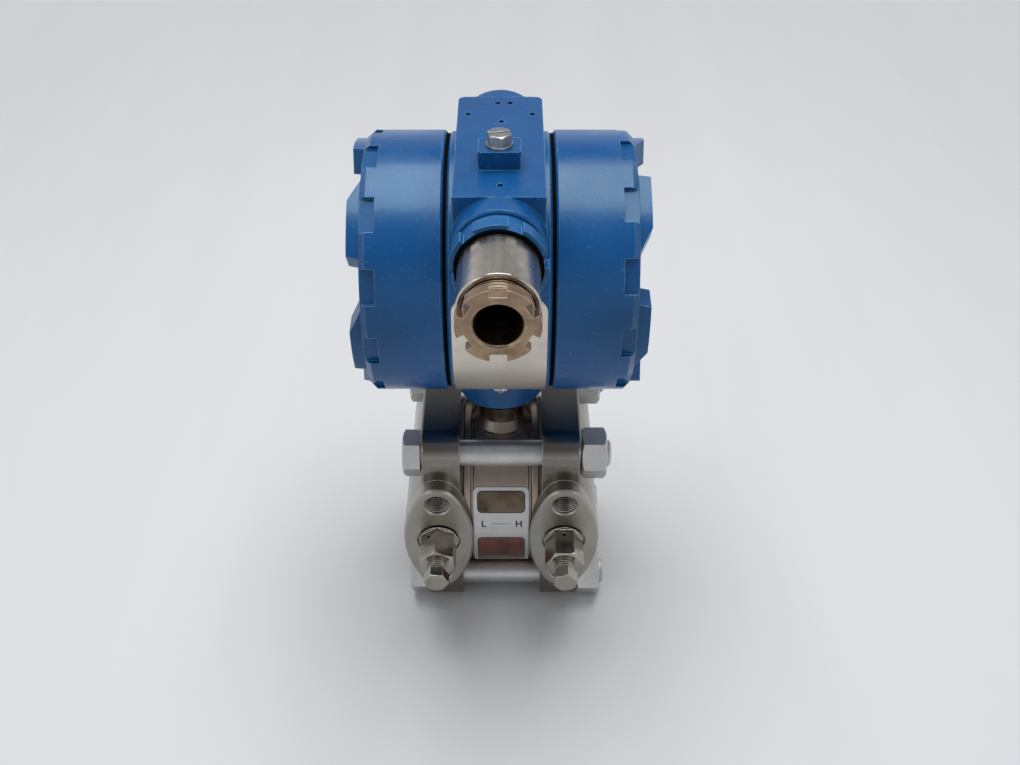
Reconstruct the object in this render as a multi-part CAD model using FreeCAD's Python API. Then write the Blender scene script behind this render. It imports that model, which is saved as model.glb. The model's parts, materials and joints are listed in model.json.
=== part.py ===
import FreeCAD, Part
import math
import os

from FreeCAD import Vector

# Differential pressure transmitter, in millimetres.
#
# It is built about the point where the sensor's axis (X) meets the neck's axis (Z), with -Y to the
# front. Each piece is written with its origin moved to the centre of the rear process connection.
# The low-pressure side is -X and the high-pressure side is +X.

# ---- Fits and gaps ----
RUNNING_CLEARANCE = 0.05  # radial, a part that turns in its own bore
THREAD_CLEARANCE = 0.30  # radial, between two threaded walls drawn plain
BOLT_CLEARANCE = 0.40  # radial, a bolt in its drilled hole
SEAT_CLEARANCE = 0.10  # between a head and its seat where one of them turns
FACE_SEAM = 1.00  # open seam between the sensor rim and each process flange
PAST = 1.0  # how far a cutting tool runs past the metal it clears
LAP = 1.0  # how deep a piece built on another is sunk into it before they are joined
DRILL_POINT = 0.5  # height of a drill's point, as a share of its radius
CROWN_SHARE = 0.96  # round face of a hexagon head, as a share of its size across flats
CROWN_SLOPE = 30.0  # of the turned-off corners, in degrees

# ---- Sensor module ----
MODULE_RADIUS = 37.5
MODULE_BAND_HALF = 12.0
MODULE_RIM_DROP = 0.5  # of the rims, below the drum
MODULE_RIM_WIDTH = 3.4
MODULE_GROOVE_WIDTH = 0.9
MODULE_GROOVE_DEPTH = 1.4
MODULE_EDGE = 0.5
NECK_RADIUS = 9.9
NECK_ROOT_RADIUS = 13.0
NECK_ROOT_HEIGHT = 3.0
NECK_ENGAGEMENT = 24.0  # how far the neck goes up into the housing's collar
HEADER_RADIUS = 8.4
HEADER_THICKNESS = 1.6
HEADER_PIN_RADIUS = 0.6
HEADER_PIN_LENGTH = 5.0
HEADER_PIN_CIRCLE = 5.2
HEADER_PIN_COUNT = 5

# ---- Isolating diaphragms ----
DIAPHRAGM_MARGIN = 10.5  # round the recess, to the drum's edge
DIAPHRAGM_THICKNESS = 0.5
DIAPHRAGM_RIPPLE = 0.5
DIAPHRAGM_FOLDS = 4
DIAPHRAGM_RECESS = 1.6

# ---- Process flanges ----
FLANGE_INSET = 3.5  # of the front and rear edges, from the sensor drum
FLANGE_OVERHANG = 10.5  # of the top and bottom edges, past the sensor drum
FLANGE_THICKNESS = 16.6
FLANGE_CORNER = 11.0
FLANGE_EDGE = 1.6
PORT_SPACING = 54.0
PORT_BAR_WIDTH = 30.0
PORT_END_RADIUS = 8.9  # round the adapter holes, at each end of the oval
PORT_FACE_STEP = 3.0  # of the port faces, past the sensor drum
PORT_BAR_EDGE = 0.8
PORT_COUNTERBORE_RADIUS = 9.3
PORT_COUNTERBORE_DEPTH = 2.0
PORT_THREAD_RADIUS = 6.4
PORT_THREAD_DEPTH = 16.0
PORT_PASSAGE_RADIUS = 3.2
CHAMBER_DEPTH = 2.4
BAR_RELIEF = 0.7  # radial room round the module where the port bars pass it
ADAPTER_SPACING = 41.28
ADAPTER_HOLE_RADIUS = 4.95
ADAPTER_HOLE_DEPTH = 14.0
ADAPTER_MOUTH = 0.65
FLANGE_SEAL_EDGE = 2.5  # outside the seal, to the rim's edge
FLANGE_SEAL_WIDTH = 4.0
FLANGE_SEAL_DEPTH = 1.3

# ---- Flange bolts and nuts ----
BOLT_RADIUS = 5.55
BOLT_EDGE_Y = 9.4  # from a bolt's axis to the flange's front or rear edge
BOLT_EDGE_Z = 11.4  # from a bolt's axis to the flange's top or bottom edge
BOLT_HEAD_FLATS = 17.46
BOLT_HEAD_HEIGHT = 7.4
BOLT_END = 2.0
BOLT_END_CHAMFER = 0.9
NUT_FLATS = 19.05
NUT_HEIGHT = 10.5

# ---- Drain and vent valves, in the front ports ----
DRAIN_FLATS = 14.3
DRAIN_LENGTH = 15.0
DRAIN_SHOULDER_RADIUS = 8.3
DRAIN_SHOULDER_LENGTH = 2.6
DRAIN_TAIL_LENGTH = 12.0
DRAIN_BORE_RADIUS = 3.6
DRAIN_SEAT_RADIUS = 1.6
DRAIN_SEAT_WALL = 2.0
DRAIN_BALL_RADIUS = 2.4
DRAIN_VENT_RADIUS = 1.0
DRAIN_VENT_PLACE = 5.5
DRAIN_TURN_LOW = 5.0
DRAIN_TURN_HIGH = 30.0
DRAIN_VENT_TURN_LOW = 120.0  # from the hexagon's own turn, so that the hole meets a flat
DRAIN_VENT_TURN_HIGH = 60.0
STEM_FLATS = 9.2
STEM_HEAD_HEIGHT = 5.0
STEM_NECK = 4.6
STEM_TIP_CHAMFER = 0.8
STEM_TURN_LOW = 27.0
STEM_TURN_HIGH = -11.0

# ---- Electronics housing ----
DRUM_RADIUS = 50.5
DRUM_HALF = 19.0
DRUM_EDGE = 0.8
SPIGOT_STEP = 5.5  # from the drum down to a spigot
SPIGOT_LENGTH = 13.5
SPIGOT_WALL = 4.0
WALL = 4.0  # bulkhead between the two compartments
BULKHEAD_FACE = 10.5  # where the circuit side ends under the wiring trough
TROUGH_FLOOR = 22.0  # above the drum's axis
TROUGH_LEFT = -11.0
COLLAR_TOP_RADIUS = 18.0
COLLAR_BOTTOM_RADIUS = 11.3
COLLAR_RISE = 12.5  # of the collar's bottom, above the sensor drum
COLLAR_LENGTH = 16.9  # from its bottom to the foot of the drum
COLLAR_FLARE = 5.5  # height over which it widens
COLLAR_SUNK = 8.0  # of the collar, into the drum
PAD_HALF_WIDTH = 16.5
PAD_INSET = 11.5  # of the pad's rear edge, from the drum's back
PAD_RISE = 1.1  # above the drum
PAD_CORNER = 3.0
BOSS_RADIUS = 17.0
BOSS_FRONT_INSET = 2.5  # of the front boss's face, from the drum's front
BOSS_REAR_INSET = 4.5
BOSS_EDGE = 0.7
CONDUIT_RADIUS = 9.9
CONDUIT_DEPTH = 20.0
CONDUIT_PASSAGE_RADIUS = 8.5
PAD_HOLE_RADIUS = 1.15
PAD_HOLE_DEPTH = 3.0
NECK_SEAL_INSET = 0.3
NECK_SEAL_HEIGHT = 1.2
PAD_HOLES = ((-12.4, 24.1), (12.4, 24.1), (0.5, 17.8), (0.4, -30.7), (-0.9, 33.6), (3.8, 33.6))

# ---- External ground terminal ----
GROUND_BLOCK_WIDTH = 15.4
GROUND_BLOCK_DEPTH = 11.5
GROUND_BLOCK_HEIGHT = 7.1
GROUND_BLOCK_PLACE = -14.4
GROUND_BLOCK_EDGE = 1.4
GROUND_SCREW_RADIUS = 2.0
GROUND_SCREW_LENGTH = 7.0
GROUND_HOLE_SPARE = 1.0  # depth of the hole past the screw's end
GROUND_HEAD_FLATS = 8.0
GROUND_HEAD_HEIGHT = 4.0
GROUND_SLOT_WIDTH = 0.8
GROUND_SLOT_DEPTH = 1.4
GROUND_SLOT_TURN = 12.0
GROUND_WASHER_RADIUS = 4.8
GROUND_WASHER_THICKNESS = 0.9

# ---- Screw-on covers and their seals ----
COVER_RISE = 0.5  # of the covers, above the drum
COVER_SEAM = 1.5  # axial gap between drum and cover, filled by the seal
COVER_DEPTH = 30.0
COVER_FACE = 4.0
COVER_EDGE = 2.2
COVER_NOTCH_COUNT = 12
COVER_NOTCH_WIDTH = 5.7
COVER_NOTCH_SPAN = 13.2
COVER_NOTCH_DEPTH = 2.2
COVER_LUG_COUNT = 6
COVER_LUG_HEIGHT = 4.6
COVER_LUG_ANGLE = 26.0
COVER_LUG_RAMP = 13.0
COVER_LUG_WIDTH = 9.0
COVER_LUG_INSET = 1.0
COVER_LUG_LEAN = 0.02  # of the steep end, as a share of the lug circle's radius
COVER_LUG_TURN_LEFT = 34.0
COVER_LUG_TURN_RIGHT = 46.5
COVER_NOTCH_TURN_LEFT = 22.0
COVER_NOTCH_TURN_RIGHT = 3.5
COVER_RIB_RADIUS = 26.0
COVER_RIB_WIDTH = 2.5
COVER_RIB_HEIGHT = 1.2
SEAL_INSET = 0.8

# ---- Cable gland in the front conduit entry ----
GLAND_RADIUS = 14.3
GLAND_LENGTH = 34.5
GLAND_BORE = 12.2
GLAND_BORE_DEPTH = 24.0
GLAND_RIM_CHAMFER = 0.5
GLAND_TAIL_LENGTH = 15.0
LOCK_HUB_RADIUS = 15.4
LOCK_HUB_LENGTH = 4.5
LOCK_CROWN_RADIUS = 17.4
LOCK_CROWN_LENGTH = 5.5
LOCK_NOTCHES = 6
LOCK_NOTCH_WIDTH = 5.4
LOCK_TURN = 70.0
CLAMP_BORE = 8.15
CLAMP_BORE_CHAMFER = 0.75
CLAMP_TAIL_LENGTH = 9.0
CLAMP_NECK = 4.7
CLAMP_FLANGE_RADIUS = 14.3
CLAMP_FLANGE_THICKNESS = 4.3
CLAMP_NOTCHES = 6
CLAMP_NOTCH_WIDTH = 5.6
CLAMP_NOTCH_DEPTH = 3.0
CLAMP_TURN = 90.0
GLAND_WASHER_THICKNESS = 1.2
GLAND_SEAL_BORE = 8.0

# ---- Nameplate and the adjusters behind it ----
NAMEPLATE_HALF_WIDTH = 17.5
NAMEPLATE_TOP = 16.0  # degrees above the horizontal, round the drum's front
NAMEPLATE_BOTTOM = -66.0
NAMEPLATE_THICKNESS = 0.6
NAMEPLATE_CORNER = 3.0
PLATE_SCREW_ANGLES = (9.0, -58.0)
PLATE_SCREW_RADIUS = 1.4
PLATE_SCREW_LENGTH = 5.0
PLATE_HOLE_SPARE = 1.0  # depth of the hole past the screw's end
PLATE_SCREW_HEAD_RADIUS = 2.8
PLATE_SCREW_HEAD_HEIGHT = 1.8
PLATE_SCREW_CROWN = 1.7  # radius of the head's flat top
PLATE_SCREW_SLOT_WIDTH = 0.7
PLATE_SCREW_SLOT_DEPTH = 0.9
ADJUSTER_PLACE = -8.0
ZERO_ANGLE = -5.0
SPAN_ANGLE = -30.0
ADJUSTER_HEAD_RADIUS = 3.2
ADJUSTER_HEAD_HEIGHT = 2.0
ADJUSTER_POCKET_RADIUS = 3.7
ADJUSTER_POCKET_DEPTH = 3.0
ADJUSTER_SHANK_RADIUS = 1.8
ADJUSTER_REACH = 3.0  # past the wall, into the circuit side
ADJUSTER_CLIP_RADIUS = 3.0
ADJUSTER_CLIP_THICKNESS = 0.7
ADJUSTER_CLIP_GAP = 0.6  # between the clip and the wall
ADJUSTER_SLOT_WIDTH = 0.8
ADJUSTER_SLOT_DEPTH = 1.0

# ---- Circuit side ----
BOARD_MARGIN = 4.0  # round a board, to the compartment's wall
BOARD_THICKNESS = 1.6
BOARD_FLAT_SHARE = 0.85  # of the board's radius, down to its flat foot
AMPLIFIER_PLACE = -20.0
CALIBRATION_PLACE = -32.0
SPACER_RADIUS = 2.6
SPACER_INSET = 6.0  # of the spacers' circle, from the board's edge
SPACER_ANGLES = (90.0, 210.0, 330.0)
BOARD_SCREW_HEAD = 2.9
BOARD_SCREW_HEIGHT = 1.8
BOARD_SCREW_SLOT = 0.8  # its width and its depth
PART_SUNK = 0.2  # of a part on a board, into the board
AMPLIFIER_CANS = ((0, 6, 8.0, 7.0), (-20, -6, 4.0, 8.5), (20, -6, 4.0, 8.5))  # y, z, radius, height
TRIMMER_SIZE = (6.0, 10.0, 8.0)
TRIMMER_ROW = (-13.0, 13.0)
TRIMMER_RISE = 12.0  # of their lower edge, above the drum's axis
CHIP_SIZE = (3.0, 8.0, 14.0)
CHIP_INSET = 13.0  # of the outer chips' middle, from the spacers' circle
CHIP_RISE = -14.0

# ---- Terminal side ----
BLOCK_WIDTH = 58.0
BLOCK_HEIGHT = 28.0
BLOCK_DEPTH = 11.0
BLOCK_CORNER = 5.0
BLOCK_RISE = -4.0  # of its centre, from the drum's axis
BLOCK_BARRIER_HEIGHT = 4.0
BLOCK_BARRIER_WIDTH = 2.0
TERMINAL_COUNT = 4
TERMINAL_PITCH = 13.0
TERMINAL_HEAD_RADIUS = 3.6
TERMINAL_HEAD_HEIGHT = 2.4
TERMINAL_SHANK_RADIUS = 1.7
TERMINAL_SHANK_LENGTH = 6.0
TERMINAL_SLOT_WIDTH = 0.9
TERMINAL_SLOT_DEPTH = 1.1
TERMINAL_SLOT_TURN = 35.0
CLAMP_PLATE_SIZE = 8.6
CLAMP_PLATE_THICKNESS = 1.0
CLAMP_PLATE_CORNER = 0.8
PIN_RADIUS = 0.9
PIN_SLEEVE_GAP = 0.15
BULKHEAD_GROUND_DROP = 28.0

# ---- Module label ----
LABEL_HALF_WIDTH = 12.0
LABEL_TOP = 36.0
LABEL_BOTTOM = -40.0
LABEL_THICKNESS = 0.3
LABEL_CORNER = 2.0
LABEL_WINDOW_HALF_WIDTH = 9.9
LABEL_WINDOWS = ((33.0, 19.0), (-2.0, -35.0))
LABEL_WINDOW_CORNER = 1.8

# ---- Directions ----
CENTRE = Vector(0, 0, 0)
RIGHT = Vector(1, 0, 0)
LEFT = Vector(-1, 0, 0)
FRONT = Vector(0, -1, 0)
BACK = Vector(0, 1, 0)
UP = Vector(0, 0, 1)

# ---- Sizes and places worked out from the sizes above ----
MODULE_RIM_RADIUS = MODULE_RADIUS - MODULE_RIM_DROP
DIAPHRAGM_RADIUS = MODULE_RADIUS - DIAPHRAGM_MARGIN
FLANGE_SEAL_OUTER = MODULE_RIM_RADIUS - FLANGE_SEAL_EDGE
FLANGE_SEAL_INNER = FLANGE_SEAL_OUTER - FLANGE_SEAL_WIDTH
FLANGE_DEPTH = 2 * (MODULE_RADIUS - FLANGE_INSET)
FLANGE_HEIGHT = 2 * (MODULE_RADIUS + FLANGE_OVERHANG)
BOLT_SPACING_Y = FLANGE_DEPTH - 2 * BOLT_EDGE_Y
BOLT_SPACING_Z = FLANGE_HEIGHT - 2 * BOLT_EDGE_Z
PORT_FACE_REACH = MODULE_RADIUS + PORT_FACE_STEP
COLLAR_BOTTOM = MODULE_RADIUS + COLLAR_RISE
HOUSING_AXIS_HEIGHT = COLLAR_BOTTOM + COLLAR_LENGTH + DRUM_RADIUS
SPIGOT_RADIUS = DRUM_RADIUS - SPIGOT_STEP
COMPARTMENT_RADIUS = SPIGOT_RADIUS - SPIGOT_WALL
PAD_HALF_DEPTH = DRUM_RADIUS - PAD_INSET
PAD_TOP = DRUM_RADIUS + PAD_RISE  # above the drum's axis
BOSS_FRONT = DRUM_RADIUS - BOSS_FRONT_INSET
BOSS_REAR = DRUM_RADIUS - BOSS_REAR_INSET
COVER_RADIUS = DRUM_RADIUS + COVER_RISE
BOARD_RADIUS = COMPARTMENT_RADIUS - BOARD_MARGIN
SPACER_CIRCLE = BOARD_RADIUS - SPACER_INSET
CHIP_ROW = (CHIP_INSET - SPACER_CIRCLE, 0.0, SPACER_CIRCLE - CHIP_INSET)
MODULE_FACE = MODULE_BAND_HALF + MODULE_GROOVE_WIDTH + MODULE_RIM_WIDTH
FLANGE_FACE = MODULE_FACE + FACE_SEAM
FLANGE_BACK = FLANGE_FACE + FLANGE_THICKNESS
PORT_X = PORT_SPACING / 2
NECK_TOP = COLLAR_BOTTOM + NECK_ENGAGEMENT
DRUM_CENTRE = Vector(0, 0, HOUSING_AXIS_HEIGHT)
SPIGOT_END = DRUM_HALF + SPIGOT_LENGTH
PAD_TOP_Z = HOUSING_AXIS_HEIGHT + PAD_TOP
BOSS_Z = PAD_TOP_Z - BOSS_RADIUS
TERMINAL_FLOOR = BULKHEAD_FACE + WALL
TROUGH_Z = HOUSING_AXIS_HEIGHT + TROUGH_FLOOR
STEP_FLOOR = TROUGH_LEFT - WALL
COVER_MOUTH = DRUM_HALF + COVER_SEAM
GROUND_BLOCK_TOP = PAD_TOP_Z + GROUND_BLOCK_HEIGHT
TO_ORIGIN = Vector(0, -PORT_FACE_REACH, 0)


def facing(direction):
    """Rotation that turns local +Z to direction and keeps local +Y as upright as it can."""
    across = UP.cross(direction)
    if across.Length < 1e-9:
        return FreeCAD.Rotation(UP, direction)
    return FreeCAD.Rotation(across, UP, direction, "ZXY")


def placed(shape, origin, direction):
    """A copy of a shape built up local +Z, moved to origin and pointed along direction."""
    moved = shape.copy()
    moved.Placement = FreeCAD.Placement(origin, facing(direction))
    return moved


def rod(radius, start, end):
    """Cylinder between two points."""
    return Part.makeCylinder(radius, (end - start).Length, start, end - start)


def turned(profile, origin=CENTRE, direction=UP):
    """Solid of revolution: profile is (distance along the axis, radius) pairs."""
    points = [Vector(radius, 0, along) for along, radius in profile]
    face = Part.Face(Part.makePolygon(points + [points[0]]))
    return placed(face.revolve(CENTRE, UP, 360), origin, direction)


def ring(inner, outer, start, end, origin, direction):
    """Plain ring between two distances along its axis."""
    profile = [(start, inner), (start, outer), (end, outer), (end, inner)]
    return turned(profile, origin, direction)


def rounded_face(width, height, radius):
    """Rectangle with rounded corners, centred in the local XY plane."""
    box = Part.makeBox(width, height, 1.0, Vector(-width / 2, -height / 2, 0))
    if radius > 0:
        upright = [edge for edge in box.Edges if abs(edge.BoundBox.ZLength - 1.0) < 1e-6]
        box = box.makeFillet(radius, upright)
    return [face for face in box.Faces if face.BoundBox.ZMax < 1e-6][0]


def rounded_block(width, height, depth, radius):
    """Block up local +Z with four rounded upright corners."""
    face = rounded_face(width, height, radius)
    return face.extrude(Vector(0, 0, depth))


def hexagon(flats, length, turn=0.0):
    """Hexagonal prism up local +Z; with no turn a corner points along local +Y."""
    corner = flats / math.sqrt(3)
    angles = [math.radians(turn + 90 + 60 * i) for i in range(6)]
    points = [Vector(corner * math.cos(a), corner * math.sin(a), 0) for a in angles]
    return Part.Face(Part.makePolygon(points + [points[0]])).extrude(Vector(0, 0, length))


def crowned_hexagon(flats, length, turn=0.0, both_ends=False):
    """Hexagon with its corners turned off to a round face, as on a nut or a bolt head."""
    corner = flats / math.sqrt(3)
    face_radius = flats / 2 * CROWN_SHARE
    drop = (corner - face_radius) * math.tan(math.radians(CROWN_SLOPE))
    low = [(0, 0), (0, corner)]
    if both_ends:
        low = [(0, 0), (0, face_radius), (drop, corner)]
    high = [(length - drop, corner), (length, face_radius), (length, 0)]
    return hexagon(flats, length, turn).common(turned(low + high))


def edges_at(shape, axis, value, tolerance=1e-6):
    """Edges that lie in the plane where the named coordinate has the given value."""
    low, high = axis + "Min", axis + "Max"
    found = []
    for edge in shape.Edges:
        box = edge.BoundBox
        if abs(getattr(box, low) - value) < tolerance and abs(getattr(box, high) - value) < tolerance:
            found.append(edge)
    return found


def around(shape, count, turn, centre, axis):
    """Copies of a shape evenly spaced round an axis."""
    copies = []
    for i in range(count):
        copy = shape.copy()
        copy.rotate(centre, axis, turn + 360.0 * i / count)
        copies.append(copy)
    return copies


def drum_front(angle):
    """Outward direction on the drum's front at an angle above the horizontal, in degrees."""
    return Vector(0, -math.cos(math.radians(angle)), math.sin(math.radians(angle)))


def curved_sheet(inner, thickness, half_width, top, bottom, corner, centre):
    """Sheet wrapped on a drum whose axis is X, with rounded corners, between two front angles."""
    shell = ring(inner, inner + thickness, -half_width, half_width, centre, RIGHT)
    middle = (top + bottom) / 2
    outward = drum_front(middle)
    half_height = (inner + thickness) * math.sin(math.radians((top - bottom) / 2))
    punch = rounded_block(2 * half_width, 2 * half_height, 2 * inner, corner)
    return shell.common(placed(punch, centre, outward))


def sheet_window(inner, half_width, top, bottom, corner, centre):
    """Cutting block for a rounded window in such a sheet."""
    middle = (top + bottom) / 2
    half_height = inner * math.sin(math.radians((top - bottom) / 2))
    punch = rounded_block(2 * half_width, 2 * half_height, 2 * inner, corner)
    return placed(punch, centre, drum_front(middle))


def slotted(head_radius, slot_width, slot_depth, head_top, turn=0.0):
    """Cutting block for a screwdriver slot across a head whose top is at head_top."""
    length = 3 * head_radius
    block = Part.makeBox(length, slot_width, slot_depth, Vector(-length / 2, -slot_width / 2, 0))
    block.rotate(CENTRE, UP, turn)
    block.translate(Vector(0, 0, head_top - slot_depth))
    return block


# ---- Sensor ----


def sensor_module():
    """Welded sensor drum with a rim each side, diaphragm recesses and the neck."""
    groove_floor = MODULE_RADIUS - MODULE_GROOVE_DEPTH
    rim_start = MODULE_FACE - MODULE_RIM_WIDTH
    half = [
        (0, MODULE_RADIUS),
        (MODULE_BAND_HALF - MODULE_EDGE, MODULE_RADIUS),
        (MODULE_BAND_HALF, MODULE_RADIUS - MODULE_EDGE),
        (MODULE_BAND_HALF, groove_floor),
        (rim_start, groove_floor),
        (rim_start, MODULE_RIM_RADIUS - MODULE_EDGE),
        (rim_start + MODULE_EDGE, MODULE_RIM_RADIUS),
        (MODULE_FACE - MODULE_EDGE, MODULE_RIM_RADIUS),
        (MODULE_FACE, MODULE_RIM_RADIUS - MODULE_EDGE),
        (MODULE_FACE, DIAPHRAGM_RADIUS),
        (MODULE_FACE - DIAPHRAGM_RECESS, DIAPHRAGM_RADIUS),
        (MODULE_FACE - DIAPHRAGM_RECESS, 0),
    ]
    mirrored = [(-along, radius) for along, radius in reversed(half[1:])]
    body = turned(mirrored + half, CENTRE, RIGHT)
    root = math.sqrt(MODULE_RADIUS**2 - NECK_ROOT_RADIUS**2) - LAP
    neck = turned(
        [
            (0, 0),
            (0, NECK_ROOT_RADIUS),
            (MODULE_RADIUS - root, NECK_ROOT_RADIUS),
            (MODULE_RADIUS - root + NECK_ROOT_HEIGHT, NECK_RADIUS),
            (NECK_TOP - root, NECK_RADIUS),
            (NECK_TOP - root, 0),
        ],
        Vector(0, 0, root),
        UP,
    )
    return body.fuse(neck).removeSplitter()


def sensor_header():
    """Glass header with its lead pins, on the neck's top."""
    disc = rod(HEADER_RADIUS, Vector(0, 0, NECK_TOP), Vector(0, 0, NECK_TOP + HEADER_THICKNESS))
    start = Vector(HEADER_PIN_CIRCLE, 0, NECK_TOP)
    pin = rod(HEADER_PIN_RADIUS, start, start + UP * (HEADER_THICKNESS + HEADER_PIN_LENGTH))
    return disc.multiFuse(around(pin, HEADER_PIN_COUNT, 0.0, CENTRE, UP))


def isolating_diaphragm(side):
    """Thin rippled disc in the recess of the sensor's face."""
    floor = MODULE_FACE - DIAPHRAGM_RECESS
    outer = DIAPHRAGM_RADIUS - THREAD_CLEARANCE
    pitch = outer / (DIAPHRAGM_FOLDS + 1)
    lower = [(0, 0.0)]
    upper = [(DIAPHRAGM_THICKNESS, 0.0)]
    for i in range(1, DIAPHRAGM_FOLDS + 1):
        lift = DIAPHRAGM_RIPPLE if i % 2 else 0.0
        lower.append((lift, pitch * i))
        upper.append((lift + DIAPHRAGM_THICKNESS, pitch * i))
    lower.append((0, outer))
    upper.append((DIAPHRAGM_THICKNESS, outer))
    return turned(lower + upper[::-1], side * floor, side)


def process_flange():
    """High-pressure flange: a plate crossed by an oval bar with a port at each end."""
    plate = rounded_block(FLANGE_DEPTH, FLANGE_HEIGHT, FLANGE_THICKNESS, FLANGE_CORNER)
    plate = plate.makeFillet(FLANGE_EDGE, edges_at(plate, "Z", FLANGE_THICKNESS))
    plate = placed(plate, RIGHT * FLANGE_FACE, RIGHT)
    bar = oval_face().extrude(Vector(0, 0, 2 * PORT_FACE_REACH))
    ends = edges_at(bar, "Z", 0.0) + edges_at(bar, "Z", 2 * PORT_FACE_REACH)
    bar = bar.makeChamfer(PORT_BAR_EDGE, ends)
    bar = placed(bar, Vector(PORT_X, PORT_FACE_REACH, 0), FRONT)
    relief = rod(max(MODULE_RADIUS, MODULE_RIM_RADIUS) + BAR_RELIEF, CENTRE, RIGHT * FLANGE_FACE)
    body = plate.fuse(bar.cut(relief)).removeSplitter()
    return body.cut(flange_holes()).removeSplitter()


def oval_face():
    """Oval of four tangent arcs: the end arcs are centred on the adapter holes."""
    centre = ADAPTER_SPACING / 2
    half = PORT_BAR_WIDTH / 2
    end = PORT_END_RADIUS
    side = (centre**2 + half**2 - end**2) / (2 * (half - end))
    reach = math.hypot(side - half, centre)
    touch_x = end * (side - half) / reach
    touch_y = centre + end * centre / reach
    top, bottom = Vector(0, centre + end, 0), Vector(0, -centre - end, 0)
    corners = [Vector(x * touch_x, y * touch_y, 0) for x, y in ((1, 1), (1, -1), (-1, -1), (-1, 1))]
    arcs = [
        Part.Arc(corners[0], Vector(half, 0, 0), corners[1]),
        Part.Arc(corners[1], bottom, corners[2]),
        Part.Arc(corners[2], Vector(-half, 0, 0), corners[3]),
        Part.Arc(corners[3], top, corners[0]),
    ]
    return Part.Face(Part.Wire([arc.toShape() for arc in arcs]))


def flange_holes():
    """Everything drilled or turned out of the high-pressure flange, as one tool."""
    recess = rod(DIAPHRAGM_RADIUS, CENTRE, RIGHT * (FLANGE_FACE + CHAMBER_DEPTH))
    groove = ring(
        FLANGE_SEAL_INNER, FLANGE_SEAL_OUTER, 0, FLANGE_FACE + FLANGE_SEAL_DEPTH, CENTRE, RIGHT
    )
    cross = rod(PORT_PASSAGE_RADIUS, RIGHT * FLANGE_FACE, RIGHT * PORT_X)
    tools = [groove, cross]
    for outward in (FRONT, BACK):
        tools.append(port_bore(outward))
        for up in (-1, 1):
            tools.append(adapter_hole(outward, up * ADAPTER_SPACING / 2))
    for y, z in bolt_places():
        start = Vector(FLANGE_FACE - PAST, y, z)
        end = Vector(FLANGE_BACK + PAST, y, z)
        tools.append(rod(BOLT_RADIUS + BOLT_CLEARANCE, start, end))
    return recess.multiFuse(tools)


def port_bore(outward):
    """Counterbore, pipe thread and passage of one process port."""
    profile = [
        (0, 0),
        (0, PORT_PASSAGE_RADIUS),
        (PORT_FACE_REACH - PORT_THREAD_DEPTH, PORT_PASSAGE_RADIUS),
        (PORT_FACE_REACH - PORT_THREAD_DEPTH, PORT_THREAD_RADIUS),
        (PORT_FACE_REACH - PORT_COUNTERBORE_DEPTH, PORT_THREAD_RADIUS),
        (PORT_FACE_REACH - PORT_COUNTERBORE_DEPTH, PORT_COUNTERBORE_RADIUS),
        (PORT_FACE_REACH + PAST, PORT_COUNTERBORE_RADIUS),
        (PORT_FACE_REACH + PAST, 0),
    ]
    return turned(profile, RIGHT * PORT_X, outward)


def adapter_hole(outward, z):
    """Tapped blind hole with a countersunk mouth and a drill point."""
    mouth = PORT_FACE_REACH
    floor = mouth - ADAPTER_HOLE_DEPTH
    profile = [
        (floor - ADAPTER_HOLE_RADIUS * DRILL_POINT, 0),
        (floor, ADAPTER_HOLE_RADIUS),
        (mouth - ADAPTER_MOUTH, ADAPTER_HOLE_RADIUS),
        (mouth, ADAPTER_HOLE_RADIUS + ADAPTER_MOUTH),
        (mouth + PAST, ADAPTER_HOLE_RADIUS + ADAPTER_MOUTH),
        (mouth + PAST, 0),
    ]
    return turned(profile, Vector(PORT_X, 0, z), outward)


def flange_seal(side):
    """Ring in the flange's groove, pressed on the sensor's face."""
    start = MODULE_FACE
    end = FLANGE_FACE + FLANGE_SEAL_DEPTH
    return ring(FLANGE_SEAL_INNER, FLANGE_SEAL_OUTER, start, end, CENTRE, side)


def bolt_places():
    """The four (y, z) places of the flange bolts."""
    y, z = BOLT_SPACING_Y / 2, BOLT_SPACING_Z / 2
    return [(-y, z), (y, z), (-y, -z), (y, -z)]


def flange_bolt(y, z):
    """Hexagon bolt through both flanges, its head on the low side."""
    grip = 2 * FLANGE_BACK
    length = grip + NUT_HEIGHT + BOLT_END
    head = crowned_hexagon(BOLT_HEAD_FLATS, BOLT_HEAD_HEIGHT, 90.0)
    head = placed(head, Vector(-FLANGE_BACK, y, z), LEFT)
    shank = turned(
        [
            (0, 0),
            (0, BOLT_RADIUS),
            (length - BOLT_END_CHAMFER, BOLT_RADIUS),
            (length, BOLT_RADIUS - BOLT_END_CHAMFER),
            (length, 0),
        ],
        Vector(-FLANGE_BACK, y, z),
        RIGHT,
    )
    return head.fuse(shank)


def flange_nut(y, z):
    """Heavy hexagon nut on the high side."""
    nut = crowned_hexagon(NUT_FLATS, NUT_HEIGHT, 90.0, both_ends=True)
    nut = placed(nut, Vector(FLANGE_BACK, y, z), RIGHT)
    start = Vector(FLANGE_BACK - PAST, y, z)
    end = Vector(FLANGE_BACK + NUT_HEIGHT + PAST, y, z)
    return nut.cut(rod(BOLT_RADIUS + RUNNING_CLEARANCE, start, end))


# ---- Drain and vent valves ----


def drain_nose():
    """Distance from the valve's shoulder in the counterbore to its nose."""
    return DRAIN_LENGTH + PORT_COUNTERBORE_DEPTH


def drain_seat():
    """Distance from the valve's shoulder to the small end of its 45-degree seat."""
    return DRAIN_SEAT_WALL - DRAIN_TAIL_LENGTH


def drain_ball_place():
    """Distance from the valve's shoulder to the centre of the ball in its seat."""
    return drain_seat() - DRAIN_SEAT_RADIUS + (DRAIN_BALL_RADIUS + SEAT_CLEARANCE) * math.sqrt(2)


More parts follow.
